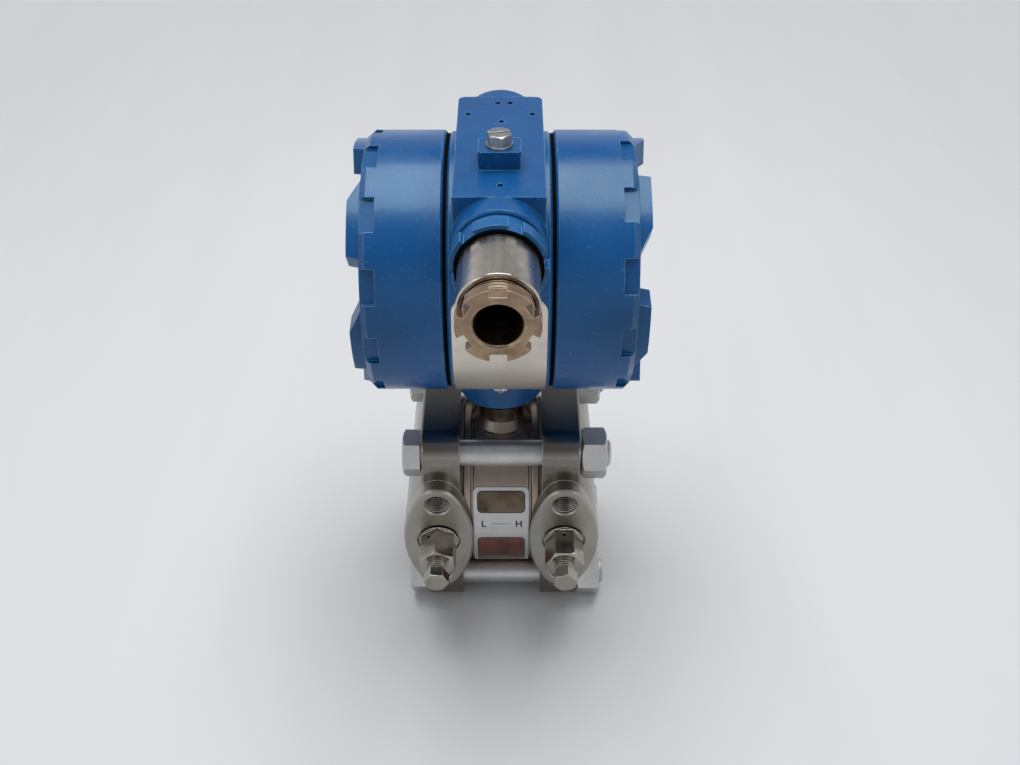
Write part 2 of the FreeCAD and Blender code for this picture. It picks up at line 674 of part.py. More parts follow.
def drain_origin(side):
    """Point on a front port's axis where the valve's shoulder seats in the counterbore."""
    return Vector(side * PORT_X, -(PORT_FACE_REACH - PORT_COUNTERBORE_DEPTH), 0)


def drain_body(side, turn, vent_turn):
    """Valve body: pipe-thread tail, round shoulder, long hexagon and a vent hole in one flat."""
    nose = drain_nose()
    seat = drain_seat()
    hexagonal = crowned_hexagon(DRAIN_FLATS, nose, turn)
    shoulder = rod(DRAIN_SHOULDER_RADIUS, CENTRE, UP * DRAIN_SHOULDER_LENGTH)
    tail = rod(PORT_THREAD_RADIUS - RUNNING_CLEARANCE, UP * -DRAIN_TAIL_LENGTH, CENTRE)
    wall = DRAIN_BORE_RADIUS + THREAD_CLEARANCE
    bore = turned(
        [
            (-DRAIN_TAIL_LENGTH - PAST, 0),
            (-DRAIN_TAIL_LENGTH - PAST, DRAIN_SEAT_RADIUS),
            (seat, DRAIN_SEAT_RADIUS),
            (seat + wall - DRAIN_SEAT_RADIUS, wall),
            (nose + PAST, wall),
            (nose + PAST, 0),
        ]
    )
    flat = math.radians(turn + vent_turn)
    outward = Vector(math.cos(flat), math.sin(flat), 0) * DRAIN_FLATS
    vent = rod(DRAIN_VENT_RADIUS, UP * DRAIN_VENT_PLACE, UP * DRAIN_VENT_PLACE + outward)
    body = hexagonal.multiFuse([shoulder, tail]).cut([bore, vent]).removeSplitter()
    return placed(body, drain_origin(side), FRONT)


def drain_ball(side):
    """Ball that closes the valve's seat."""
    return Part.makeSphere(DRAIN_BALL_RADIUS, drain_origin(side) + FRONT * drain_ball_place())


def drain_stem(side, turn):
    """Threaded stem that presses the ball, with its own small hexagon head."""
    neck_end = drain_nose() + STEM_NECK
    start = drain_ball_place() + DRAIN_BALL_RADIUS + SEAT_CLEARANCE
    head = crowned_hexagon(STEM_FLATS, STEM_HEAD_HEIGHT, turn)
    head.translate(UP * neck_end)
    shank = turned(
        [
            (start, 0),
            (start, DRAIN_BORE_RADIUS - STEM_TIP_CHAMFER),
            (start + STEM_TIP_CHAMFER, DRAIN_BORE_RADIUS),
            (neck_end, DRAIN_BORE_RADIUS),
            (neck_end, 0),
        ]
    )
    return placed(shank.fuse(head).removeSplitter(), drain_origin(side), FRONT)


# ---- Electronics housing ----


def housing_outside():
    """Cast body: drum, cover spigots, top pad, conduit bosses, ground block and collar."""
    half = [
        (DRUM_HALF - DRUM_EDGE, DRUM_RADIUS),
        (DRUM_HALF, DRUM_RADIUS - DRUM_EDGE),
        (DRUM_HALF, SPIGOT_RADIUS),
        (SPIGOT_END - DRUM_EDGE, SPIGOT_RADIUS),
        (SPIGOT_END, SPIGOT_RADIUS - DRUM_EDGE),
        (SPIGOT_END, 0),
    ]
    mirrored = [(-along, radius) for along, radius in reversed(half)]
    drum = turned(mirrored + half, DRUM_CENTRE, RIGHT)
    pad = Part.makeBox(
        2 * PAD_HALF_WIDTH,
        2 * PAD_HALF_DEPTH,
        PAD_TOP,
        Vector(-PAD_HALF_WIDTH, -PAD_HALF_DEPTH, HOUSING_AXIS_HEIGHT),
    )
    rear = [
        edge
        for edge in edges_at(pad, "Y", PAD_HALF_DEPTH)
        if edge.BoundBox.ZLength > PAD_TOP / 2
    ]
    pad = pad.makeFillet(PAD_CORNER, rear)
    pieces = [pad, conduit_boss(FRONT, BOSS_FRONT), conduit_boss(BACK, BOSS_REAR)]
    pieces += [ground_block(), collar()]
    return drum.multiFuse(pieces).removeSplitter()


def conduit_boss(outward, reach):
    """Round boss level with the top pad, with a broken front edge."""
    profile = [
        (0, 0),
        (0, BOSS_RADIUS),
        (reach - BOSS_EDGE, BOSS_RADIUS),
        (reach, BOSS_RADIUS - BOSS_EDGE),
        (reach, 0),
    ]
    return turned(profile, Vector(0, 0, BOSS_Z), outward)


def collar():
    """Tapered collar under the drum that takes the sensor's neck."""
    top = HOUSING_AXIS_HEIGHT - DRUM_RADIUS
    profile = [
        (COLLAR_BOTTOM, 0),
        (COLLAR_BOTTOM, COLLAR_BOTTOM_RADIUS),
        (COLLAR_BOTTOM + COLLAR_FLARE, COLLAR_TOP_RADIUS),
        (top + COLLAR_SUNK, COLLAR_TOP_RADIUS),
        (top + COLLAR_SUNK, 0),
    ]
    return turned(profile)


def ground_block():
    """Raised block on the pad that carries the outside ground screw."""
    height = GROUND_BLOCK_HEIGHT + LAP
    block = rounded_block(GROUND_BLOCK_WIDTH, GROUND_BLOCK_DEPTH, height, GROUND_BLOCK_EDGE)
    return placed(block, Vector(0, GROUND_BLOCK_PLACE, PAD_TOP_Z - LAP), UP)


def compartments():
    """Circuit side and terminal side, parted by a stepped bulkhead under the wiring trough."""
    left_end = LEFT * (SPIGOT_END + PAST)
    right_end = RIGHT * (SPIGOT_END + PAST)
    circuit = rod(COMPARTMENT_RADIUS, DRUM_CENTRE + left_end, DRUM_CENTRE + RIGHT * BULKHEAD_FACE)
    above = Part.makeBox(
        BULKHEAD_FACE - STEP_FLOOR + PAST,
        2 * DRUM_RADIUS,
        DRUM_RADIUS,
        Vector(STEP_FLOOR, -DRUM_RADIUS, TROUGH_Z - WALL),
    )
    circuit = circuit.cut(above)
    terminal = rod(COMPARTMENT_RADIUS, DRUM_CENTRE + RIGHT * TERMINAL_FLOOR, DRUM_CENTRE + right_end)
    trough = rod(
        COMPARTMENT_RADIUS, DRUM_CENTRE + RIGHT * TROUGH_LEFT, DRUM_CENTRE + RIGHT * TERMINAL_FLOOR
    )
    below = Part.makeBox(
        2 * DRUM_RADIUS,
        2 * DRUM_RADIUS,
        2 * DRUM_RADIUS,
        Vector(-DRUM_RADIUS, -DRUM_RADIUS, TROUGH_Z - 2 * DRUM_RADIUS),
    )
    return [circuit, terminal.fuse(trough.cut(below))]


def conduit_entry(outward, reach):
    """Threaded entry and the smaller passage into the wiring trough."""
    profile = [
        (0, 0),
        (0, CONDUIT_PASSAGE_RADIUS),
        (reach - CONDUIT_DEPTH, CONDUIT_PASSAGE_RADIUS),
        (reach - CONDUIT_DEPTH, CONDUIT_RADIUS),
        (reach + PAST, CONDUIT_RADIUS),
        (reach + PAST, 0),
    ]
    return turned(profile, Vector(0, 0, BOSS_Z), outward)


def small_housing_holes():
    """Pad holes, ground screw hole, nameplate screw holes, adjuster pockets and pin holes."""
    tools = []
    for x, y in PAD_HOLES:
        top = Vector(x, y, PAD_TOP_Z + PAST)
        tools.append(rod(PAD_HOLE_RADIUS, top, top - UP * (PAD_HOLE_DEPTH + PAST)))
    top = Vector(0, GROUND_BLOCK_PLACE, GROUND_BLOCK_TOP + PAST)
    depth = PAST + GROUND_SCREW_LENGTH + GROUND_HOLE_SPARE
    tools.append(rod(GROUND_SCREW_RADIUS + RUNNING_CLEARANCE, top, top - UP * depth))
    for angle in PLATE_SCREW_ANGLES:
        outward = drum_front(angle)
        start = DRUM_CENTRE + outward * (DRUM_RADIUS + PAST)
        hole = PLATE_SCREW_RADIUS + RUNNING_CLEARANCE
        depth = PAST + PLATE_SCREW_LENGTH + PLATE_HOLE_SPARE
        tools.append(rod(hole, start, start - outward * depth))
    for angle in (ZERO_ANGLE, SPAN_ANGLE):
        tools.append(adjuster_pocket(angle))
    for y in terminal_rows():
        start = Vector(BULKHEAD_FACE - PAST, y, pin_height())
        end = Vector(TERMINAL_FLOOR + PAST, y, pin_height())
        tools.append(rod(PIN_RADIUS + PIN_SLEEVE_GAP, start, end))
    return tools


def electronics_housing():
    """Two-compartment housing."""
    floor = HOUSING_AXIS_HEIGHT - COMPARTMENT_RADIUS
    bore = rod(NECK_RADIUS + RUNNING_CLEARANCE, UP * (COLLAR_BOTTOM - PAST), UP * (floor + 2 * PAST))
    tools = compartments() + small_housing_holes() + [bore]
    tools += [conduit_entry(FRONT, BOSS_FRONT), conduit_entry(BACK, BOSS_REAR)]
    return housing_outside().cut(tools).removeSplitter()


def neck_seal():
    """Ring under the collar, round the neck."""
    inner = NECK_RADIUS + RUNNING_CLEARANCE
    outer = COLLAR_BOTTOM_RADIUS - NECK_SEAL_INSET
    return ring(inner, outer, COLLAR_BOTTOM - NECK_SEAL_HEIGHT, COLLAR_BOTTOM, CENTRE, UP)


# ---- External ground terminal ----


def ground_washer():
    """Washer under the ground screw's head."""
    inner = GROUND_SCREW_RADIUS + RUNNING_CLEARANCE
    base = Vector(0, GROUND_BLOCK_PLACE, GROUND_BLOCK_TOP)
    return ring(inner, GROUND_WASHER_RADIUS, 0, GROUND_WASHER_THICKNESS, base, UP)


def ground_screw():
    """Hexagon screw with a screwdriver slot."""
    seat = GROUND_WASHER_THICKNESS
    head = crowned_hexagon(GROUND_HEAD_FLATS, GROUND_HEAD_HEIGHT, GROUND_SLOT_TURN)
    slot = slotted(
        GROUND_HEAD_FLATS, GROUND_SLOT_WIDTH, GROUND_SLOT_DEPTH, GROUND_HEAD_HEIGHT, GROUND_SLOT_TURN
    )
    head = head.cut(slot)
    head.translate(UP * seat)
    shank = rod(GROUND_SCREW_RADIUS, UP * (seat - GROUND_SCREW_LENGTH), UP * seat)
    return placed(head.fuse(shank), Vector(0, GROUND_BLOCK_PLACE, GROUND_BLOCK_TOP), UP)


# ---- Covers ----


def cover(notch_turn, lug_turn):
    """Screw-on cap, built up local +Z from its mouth, with corner notches and face lugs."""
    bore = SPIGOT_RADIUS + THREAD_CLEARANCE
    floor = COVER_DEPTH - COVER_FACE
    profile = [
        (0, bore),
        (0, COVER_RADIUS - DRUM_EDGE),
        (DRUM_EDGE, COVER_RADIUS),
        (COVER_DEPTH - COVER_EDGE, COVER_RADIUS),
        (COVER_DEPTH, COVER_RADIUS - COVER_EDGE),
        (COVER_DEPTH, COVER_RIB_RADIUS + COVER_RIB_WIDTH),
        (COVER_DEPTH - COVER_RIB_HEIGHT, COVER_RIB_RADIUS),
        (COVER_DEPTH - COVER_RIB_HEIGHT, 0),
        (floor, 0),
        (floor, bore),
    ]
    cap = turned(profile)
    cap = cap.multiFuse(around(cover_lug(), COVER_LUG_COUNT, lug_turn, CENTRE, UP))
    cap = cap.cut(around(cover_notch(), COVER_NOTCH_COUNT, notch_turn, CENTRE, UP))
    return cap.removeSplitter()


def cover_notch():
    """Cutting block for one notch in the cover's outer corner."""
    return Part.makeBox(
        COVER_RADIUS,
        COVER_NOTCH_SPAN,
        COVER_NOTCH_WIDTH + COVER_LUG_HEIGHT,
        Vector(
            COVER_RADIUS - COVER_NOTCH_DEPTH,
            -COVER_NOTCH_SPAN / 2,
            COVER_DEPTH - COVER_NOTCH_WIDTH,
        ),
    )


def cover_lug():
    """One lug on the cover's face: a steep end, a flat top and a ramp."""
    outer = COVER_RADIUS - COVER_EDGE - COVER_LUG_INSET
    inner = outer - COVER_LUG_WIDTH
    flat = math.radians(COVER_LUG_ANGLE)
    ramp = math.radians(COVER_LUG_RAMP)
    start = COVER_DEPTH - LAP
    top = COVER_DEPTH + COVER_LUG_HEIGHT
    points = [
        Vector(0, 0, start),
        Vector(0, outer * COVER_LUG_LEAN, top),
        Vector(0, outer * flat, top),
        Vector(0, outer * (flat + ramp), start),
    ]
    half_turn = math.degrees(flat + ramp) / 2
    centred = [Vector(0, p.y - outer * (flat + ramp) / 2, p.z) for p in points]
    block = Part.Face(Part.makePolygon(centred + [centred[0]])).extrude(Vector(outer + PAST, 0, 0))
    lug = block.common(ring(inner, outer, 0, top, CENTRE, UP))
    lug.rotate(CENTRE, UP, half_turn)
    return lug


def cover_seal(side):
    """Black ring in the seam between the drum and a cover."""
    inner = SPIGOT_RADIUS + THREAD_CLEARANCE
    return ring(inner, DRUM_RADIUS - SEAL_INSET, DRUM_HALF, COVER_MOUTH, DRUM_CENTRE, side)


# ---- Cable gland ----


def gland_origin():
    """Centre of the front conduit boss's face."""
    return Vector(0, -BOSS_FRONT, BOSS_Z)


def radial_notches(count, width, inner, start, end, turn):
    """Cutting blocks for notches round a ring, up local +Z."""
    reach = 2 * LOCK_CROWN_RADIUS
    block = Part.makeBox(reach, width, end - start, Vector(inner, -width / 2, start))
    return around(block, count, turn, CENTRE, UP)


def gland_lock_ring():
    """Castellated ring that locks the gland against the boss."""
    inner = GLAND_RADIUS + RUNNING_CLEARANCE
    crown_end = LOCK_HUB_LENGTH + LOCK_CROWN_LENGTH
    body = turned(
        [
            (0, inner),
            (0, LOCK_HUB_RADIUS),
            (LOCK_HUB_LENGTH, LOCK_HUB_RADIUS),
            (LOCK_HUB_LENGTH, LOCK_CROWN_RADIUS),
            (crown_end, LOCK_CROWN_RADIUS),
            (crown_end, inner),
        ]
    )
    notches = radial_notches(
        LOCK_NOTCHES, LOCK_NOTCH_WIDTH, LOCK_HUB_RADIUS, LOCK_HUB_LENGTH, crown_end + PAST, LOCK_TURN
    )
    return placed(body.cut(notches), gland_origin(), FRONT)


def gland_body():
    """Hollow gland body with a threaded tail in the boss."""
    throat = GLAND_LENGTH - GLAND_BORE_DEPTH
    profile = [
        (-GLAND_TAIL_LENGTH, GLAND_SEAL_BORE),
        (-GLAND_TAIL_LENGTH, CONDUIT_RADIUS - RUNNING_CLEARANCE),
        (0, CONDUIT_RADIUS - RUNNING_CLEARANCE),
        (0, GLAND_RADIUS),
        (GLAND_LENGTH - GLAND_RIM_CHAMFER, GLAND_RADIUS),
        (GLAND_LENGTH, GLAND_RADIUS - GLAND_RIM_CHAMFER),
        (GLAND_LENGTH, GLAND_BORE + GLAND_RIM_CHAMFER),
        (GLAND_LENGTH - GLAND_RIM_CHAMFER, GLAND_BORE),
        (throat, GLAND_BORE),
        (throat, GLAND_SEAL_BORE),
    ]
    return turned(profile, gland_origin(), FRONT)


def clamp_start():
    """Distance from the boss's face to the inner end of the clamping ring."""
    return GLAND_LENGTH - CLAMP_TAIL_LENGTH + CLAMP_NECK


def gland_clamp_ring():
    """Castellated ring that screws in and squeezes the seal."""
    tail = GLAND_BORE - THREAD_CLEARANCE
    start = clamp_start()
    shoulder = GLAND_LENGTH + CLAMP_NECK
    end = shoulder + CLAMP_FLANGE_THICKNESS
    body = turned(
        [
            (start, CLAMP_BORE),
            (start, tail),
            (shoulder, tail),
            (shoulder, CLAMP_FLANGE_RADIUS),
            (end, CLAMP_FLANGE_RADIUS),
            (end, CLAMP_BORE + CLAMP_BORE_CHAMFER),
            (end - CLAMP_BORE_CHAMFER, CLAMP_BORE),
        ]
    )
    floor = CLAMP_FLANGE_RADIUS - CLAMP_NOTCH_DEPTH
    notches = radial_notches(
        CLAMP_NOTCHES, CLAMP_NOTCH_WIDTH, floor, shoulder - PAST, end + PAST, CLAMP_TURN
    )
    return placed(body.cut(notches), gland_origin(), FRONT)


def gland_washer():
    """Thrust washer between the clamping ring and the seal."""
    end = clamp_start()
    return ring(
        GLAND_SEAL_BORE + THREAD_CLEARANCE,
        GLAND_BORE - THREAD_CLEARANCE,
        end - GLAND_WASHER_THICKNESS,
        end,
        gland_origin(),
        FRONT,
    )


def gland_seal():
    """Rubber ring that grips the cable."""
    outer = GLAND_BORE - RUNNING_CLEARANCE
    start = GLAND_LENGTH - GLAND_BORE_DEPTH
    end = clamp_start() - GLAND_WASHER_THICKNESS
    return ring(GLAND_SEAL_BORE, outer, start, end, gland_origin(), FRONT)


# ---- Nameplate and adjusters ----


def nameplate():
    """Plain curved plate on the drum's front."""
    sheet = curved_sheet(
        DRUM_RADIUS,
        NAMEPLATE_THICKNESS,
        NAMEPLATE_HALF_WIDTH,
        NAMEPLATE_TOP,
        NAMEPLATE_BOTTOM,
        NAMEPLATE_CORNER,
        DRUM_CENTRE,
    )
    holes = []
    for angle in PLATE_SCREW_ANGLES:
        outward = drum_front(angle)
        start = DRUM_CENTRE + outward * (DRUM_RADIUS - PAST)
        end = DRUM_CENTRE + outward * (DRUM_RADIUS + NAMEPLATE_THICKNESS + PAST)
        holes.append(rod(PLATE_SCREW_RADIUS + BOLT_CLEARANCE, start, end))
    return sheet.cut(holes)


def plate_screw(angle):
    """Pan-head screw that holds the nameplate."""
    outside = DRUM_RADIUS + NAMEPLATE_THICKNESS
    head = turned(
        [
            (0, 0),
            (0, PLATE_SCREW_HEAD_RADIUS),
            (PLATE_SCREW_HEAD_HEIGHT / 2, PLATE_SCREW_HEAD_RADIUS),
            (PLATE_SCREW_HEAD_HEIGHT, PLATE_SCREW_CROWN),
            (PLATE_SCREW_HEAD_HEIGHT, 0),
        ]
    )
    slot = slotted(
        PLATE_SCREW_HEAD_RADIUS, PLATE_SCREW_SLOT_WIDTH, PLATE_SCREW_SLOT_DEPTH, PLATE_SCREW_HEAD_HEIGHT
    )
    head = head.cut(slot)
    shank = rod(PLATE_SCREW_RADIUS, UP * -PLATE_SCREW_LENGTH, CENTRE)
    return placed(head.fuse(shank), DRUM_CENTRE + drum_front(angle) * outside, drum_front(angle))


def adjuster_seat():
    """Distance from the drum's axis to the floor of an adjuster's pocket."""
    return DRUM_RADIUS - ADJUSTER_POCKET_DEPTH


def adjuster_pocket(angle):
    """Cutting tool for an adjuster's pocket and shank hole."""
    seat = adjuster_seat()
    profile = [
        (COMPARTMENT_RADIUS - PAST, 0),
        (COMPARTMENT_RADIUS - PAST, ADJUSTER_SHANK_RADIUS + RUNNING_CLEARANCE),
        (seat, ADJUSTER_SHANK_RADIUS + RUNNING_CLEARANCE),
        (seat, ADJUSTER_POCKET_RADIUS),
        (DRUM_RADIUS + PAST, ADJUSTER_POCKET_RADIUS),
        (DRUM_RADIUS + PAST, 0),
    ]
    return turned(profile, DRUM_CENTRE + RIGHT * ADJUSTER_PLACE, drum_front(angle))


def adjuster(angle):
    """Captive slotted adjuster: head in its pocket, shank through the wall, clip inside."""
    head_start = adjuster_seat() + SEAT_CLEARANCE
    head_end = head_start + ADJUSTER_HEAD_HEIGHT
    tip = COMPARTMENT_RADIUS - ADJUSTER_REACH
    clip_end = COMPARTMENT_RADIUS - ADJUSTER_CLIP_GAP
    clip_start = clip_end - ADJUSTER_CLIP_THICKNESS
    body = turned(
        [
            (tip, 0),
            (tip, ADJUSTER_SHANK_RADIUS),
            (clip_start, ADJUSTER_SHANK_RADIUS),
            (clip_start, ADJUSTER_CLIP_RADIUS),
            (clip_end, ADJUSTER_CLIP_RADIUS),
            (clip_end, ADJUSTER_SHANK_RADIUS),
            (head_start, ADJUSTER_SHANK_RADIUS),
            (head_start, ADJUSTER_HEAD_RADIUS),
            (head_end, ADJUSTER_HEAD_RADIUS),
            (head_end, 0),
        ]
    )
    slot = slotted(ADJUSTER_HEAD_RADIUS, ADJUSTER_SLOT_WIDTH, ADJUSTER_SLOT_DEPTH, head_end, 90.0)
    return placed(body.cut(slot), DRUM_CENTRE + RIGHT * ADJUSTER_PLACE, drum_front(angle))


# ---- Circuit side ----


def spacer_point(angle, x):
    """Point on the board-fixing circle at a distance along X."""
    turn = math.radians(angle)
    y = SPACER_CIRCLE * math.cos(turn)
    z = HOUSING_AXIS_HEIGHT + SPACER_CIRCLE * math.sin(turn)
    return Vector(x, y, z)


def round_board(place):
    """Round board with a flat at its foot, its near face at the given place."""
    centre = DRUM_CENTRE + RIGHT * place
    board = rod(BOARD_RADIUS, centre, centre + LEFT * BOARD_THICKNESS)
    foot = -BOARD_RADIUS * (1 + BOARD_FLAT_SHARE)
    flat = Part.makeBox(
        BOARD_THICKNESS + 2 * PAST,
        2 * BOARD_RADIUS,
        BOARD_RADIUS,
        centre + Vector(-BOARD_THICKNESS - PAST, -BOARD_RADIUS, foot),
    )
    return board.cut(flat)


def amplifier_board():
    """Board with a transformer and two tall capacitors."""
    face = AMPLIFIER_PLACE - BOARD_THICKNESS
    parts = []
    for y, z, radius, height in AMPLIFIER_CANS:
        base = DRUM_CENTRE + Vector(face + PART_SUNK, y, z)
        parts.append(rod(radius, base, base + LEFT * height))
    return round_board(AMPLIFIER_PLACE).multiFuse(parts)


def board_part(size, y, rise):
    """Box on the outer board: size is its depth, width and height, rise is of its lower edge."""
    depth, width, height = size
    face = CALIBRATION_PLACE - BOARD_THICKNESS
    corner = DRUM_CENTRE + Vector(face - depth, y - width / 2, rise)
    return Part.makeBox(depth + PART_SUNK, width, height, corner)


def calibration_board():
    """Board with two trimmers and a row of chips."""
    parts = [board_part(TRIMMER_SIZE, y, TRIMMER_RISE) for y in TRIMMER_ROW]
    parts += [board_part(CHIP_SIZE, y, CHIP_RISE) for y in CHIP_ROW]
    return round_board(CALIBRATION_PLACE).multiFuse(parts)


def board_spacers():
    """Posts from the bulkhead to the first board, and between the two boards."""
    spacers = []
    for angle in SPACER_ANGLES:
        floor = STEP_FLOOR if angle == SPACER_ANGLES[0] else BULKHEAD_FACE
        start = spacer_point(angle, floor)
        spacers.append(rod(SPACER_RADIUS, start, spacer_point(angle, AMPLIFIER_PLACE)))
        start = spacer_point(angle, AMPLIFIER_PLACE - BOARD_THICKNESS)
        spacers.append(rod(SPACER_RADIUS, start, spacer_point(angle, CALIBRATION_PLACE)))
    return Part.makeCompound(spacers)


def board_screws():
    """Screw heads on the outer board."""
    face = CALIBRATION_PLACE - BOARD_THICKNESS
    screws = []
    for angle in SPACER_ANGLES:
        head = rod(BOARD_SCREW_HEAD, CENTRE, UP * BOARD_SCREW_HEIGHT)
        head = head.cut(
            slotted(BOARD_SCREW_HEAD, BOARD_SCREW_SLOT, BOARD_SCREW_SLOT, BOARD_SCREW_HEIGHT)
        )
        screws.append(placed(head, spacer_point(angle, face), LEFT))
    return Part.makeCompound(screws)


# ---- Terminal side ----


def terminal_rows():
    """Y places of the terminals."""
    first = -TERMINAL_PITCH * (TERMINAL_COUNT - 1) / 2
    return [first + TERMINAL_PITCH * i for i in range(TERMINAL_COUNT)]


def block_height():
    """Height of the terminal block's centre."""
    return HOUSING_AXIS_HEIGHT + BLOCK_RISE


def pin_height():
    """Height of the pins that pass the bulkhead behind the block."""
    return block_height() + BLOCK_HEIGHT / 4


def terminal_block():
    """Moulded block with a barrier between each pair of terminals."""
    block = rounded_block(BLOCK_WIDTH, BLOCK_HEIGHT, BLOCK_DEPTH, BLOCK_CORNER)
    foot = BLOCK_CORNER - BLOCK_HEIGHT / 2
    half_pitch = (TERMINAL_PITCH + BLOCK_BARRIER_WIDTH) / 2
    places = [y - half_pitch for y in terminal_rows()]
    places.append(places[-1] + TERMINAL_PITCH)
    barriers = []
    for place in places:
        barriers.append(
            Part.makeBox(
                BLOCK_BARRIER_WIDTH,
                -2 * foot,
                BLOCK_BARRIER_HEIGHT + LAP,
                Vector(place, foot, BLOCK_DEPTH - LAP),
            )
        )
    block = block.multiFuse(barriers).removeSplitter()
    pin_rise = pin_height() - block_height()
    holes = []
    for y in terminal_rows():
        floor = Vector(y, 0, BLOCK_DEPTH - TERMINAL_SHANK_LENGTH)
        holes.append(rod(TERMINAL_SHANK_RADIUS, floor, floor + UP * (TERMINAL_SHANK_LENGTH + PAST)))
        back = Vector(y, pin_rise, -PAST)
        hole = PIN_RADIUS + RUNNING_CLEARANCE
        holes.append(rod(hole, back, back + UP * (BLOCK_DEPTH / 2 + PAST)))
    return placed(block.cut(holes), Vector(TERMINAL_FLOOR, 0, block_height()), RIGHT)


def terminal_screws():
    """Slotted terminal screws, standing on their clamp plates."""
    screws = []
    for y in terminal_rows():
        head = rod(TERMINAL_HEAD_RADIUS, CENTRE, UP * TERMINAL_HEAD_HEIGHT)
        slot = slotted(
            TERMINAL_HEAD_RADIUS,
            TERMINAL_SLOT_WIDTH,
            TERMINAL_SLOT_DEPTH,
            TERMINAL_HEAD_HEIGHT,
            TERMINAL_SLOT_TURN,
        )
        head = head.cut(slot)
        length = TERMINAL_SHANK_LENGTH + CLAMP_PLATE_THICKNESS
        shank = rod(TERMINAL_SHANK_RADIUS, UP * -length, CENTRE)
        top = Vector(TERMINAL_FLOOR + BLOCK_DEPTH + CLAMP_PLATE_THICKNESS, y, block_height())
        screws.append(placed(head.fuse(shank), top, RIGHT))
    return Part.makeCompound(screws)


def terminal_clamps():
    """Square clamp plates under the terminal screws."""
    plates = []
    for y in terminal_rows():
        plate = rounded_block(
            CLAMP_PLATE_SIZE, CLAMP_PLATE_SIZE, CLAMP_PLATE_THICKNESS, CLAMP_PLATE_CORNER
        )
        hole = TERMINAL_SHANK_RADIUS + RUNNING_CLEARANCE
        plate = plate.cut(rod(hole, UP * -PAST, UP * (CLAMP_PLATE_THICKNESS + PAST)))
        base = Vector(TERMINAL_FLOOR + BLOCK_DEPTH, y, block_height())
        plates.append(placed(plate, base, RIGHT))
    return Part.makeCompound(plates)


def feedthrough_pins():
    """Pins from the terminal block through the bulkhead to the first board."""
    pins = []
    for y in terminal_rows():
        start = Vector(TERMINAL_FLOOR + BLOCK_DEPTH / 2, y, pin_height())
        end = Vector(AMPLIFIER_PLACE, y, pin_height())
        pins.append(rod(PIN_RADIUS, start, end))
    return Part.makeCompound(pins)


def inside_ground_screw():
    """Ground screw on the bulkhead, below the terminal block."""
    head = crowned_hexagon(GROUND_HEAD_FLATS, GROUND_HEAD_HEIGHT)
    slot = slotted(GROUND_HEAD_FLATS, GROUND_SLOT_WIDTH, GROUND_SLOT_DEPTH, GROUND_HEAD_HEIGHT)
    head = head.cut(slot)
    base = Vector(TERMINAL_FLOOR, 0, HOUSING_AXIS_HEIGHT - BULKHEAD_GROUND_DROP)
    return placed(head, base, RIGHT)


# ---- Module label ----


def module_label():
    """Thin label round the sensor's front with two windows."""
    sheet = curved_sheet(
        MODULE_RADIUS,
        LABEL_THICKNESS,
        LABEL_HALF_WIDTH,
        LABEL_TOP,
        LABEL_BOTTOM,
        LABEL_CORNER,
        CENTRE,
    )
    windows = []
    for top, bottom in LABEL_WINDOWS:
        window = sheet_window(
            MODULE_RADIUS, LABEL_WINDOW_HALF_WIDTH, top, bottom, LABEL_WINDOW_CORNER, CENTRE
        )
        windows.append(window)
    return sheet.cut(windows)


def save(name, shape):
    """Write one node, moved so that the rear process connection is the origin."""
    moved = shape.copy()
    moved.translate(TO_ORIGIN)
    moved.exportStep(os.path.join("parts", name + ".step"))
    solids = len(moved.Solids)
    print(f"{name:24s} solids {solids} volume {moved.Volume:10.1f} valid {moved.isValid()}")


def mirrored(shape):
    """The same piece on the other side of the module."""
    return shape.mirror(CENTRE, RIGHT)


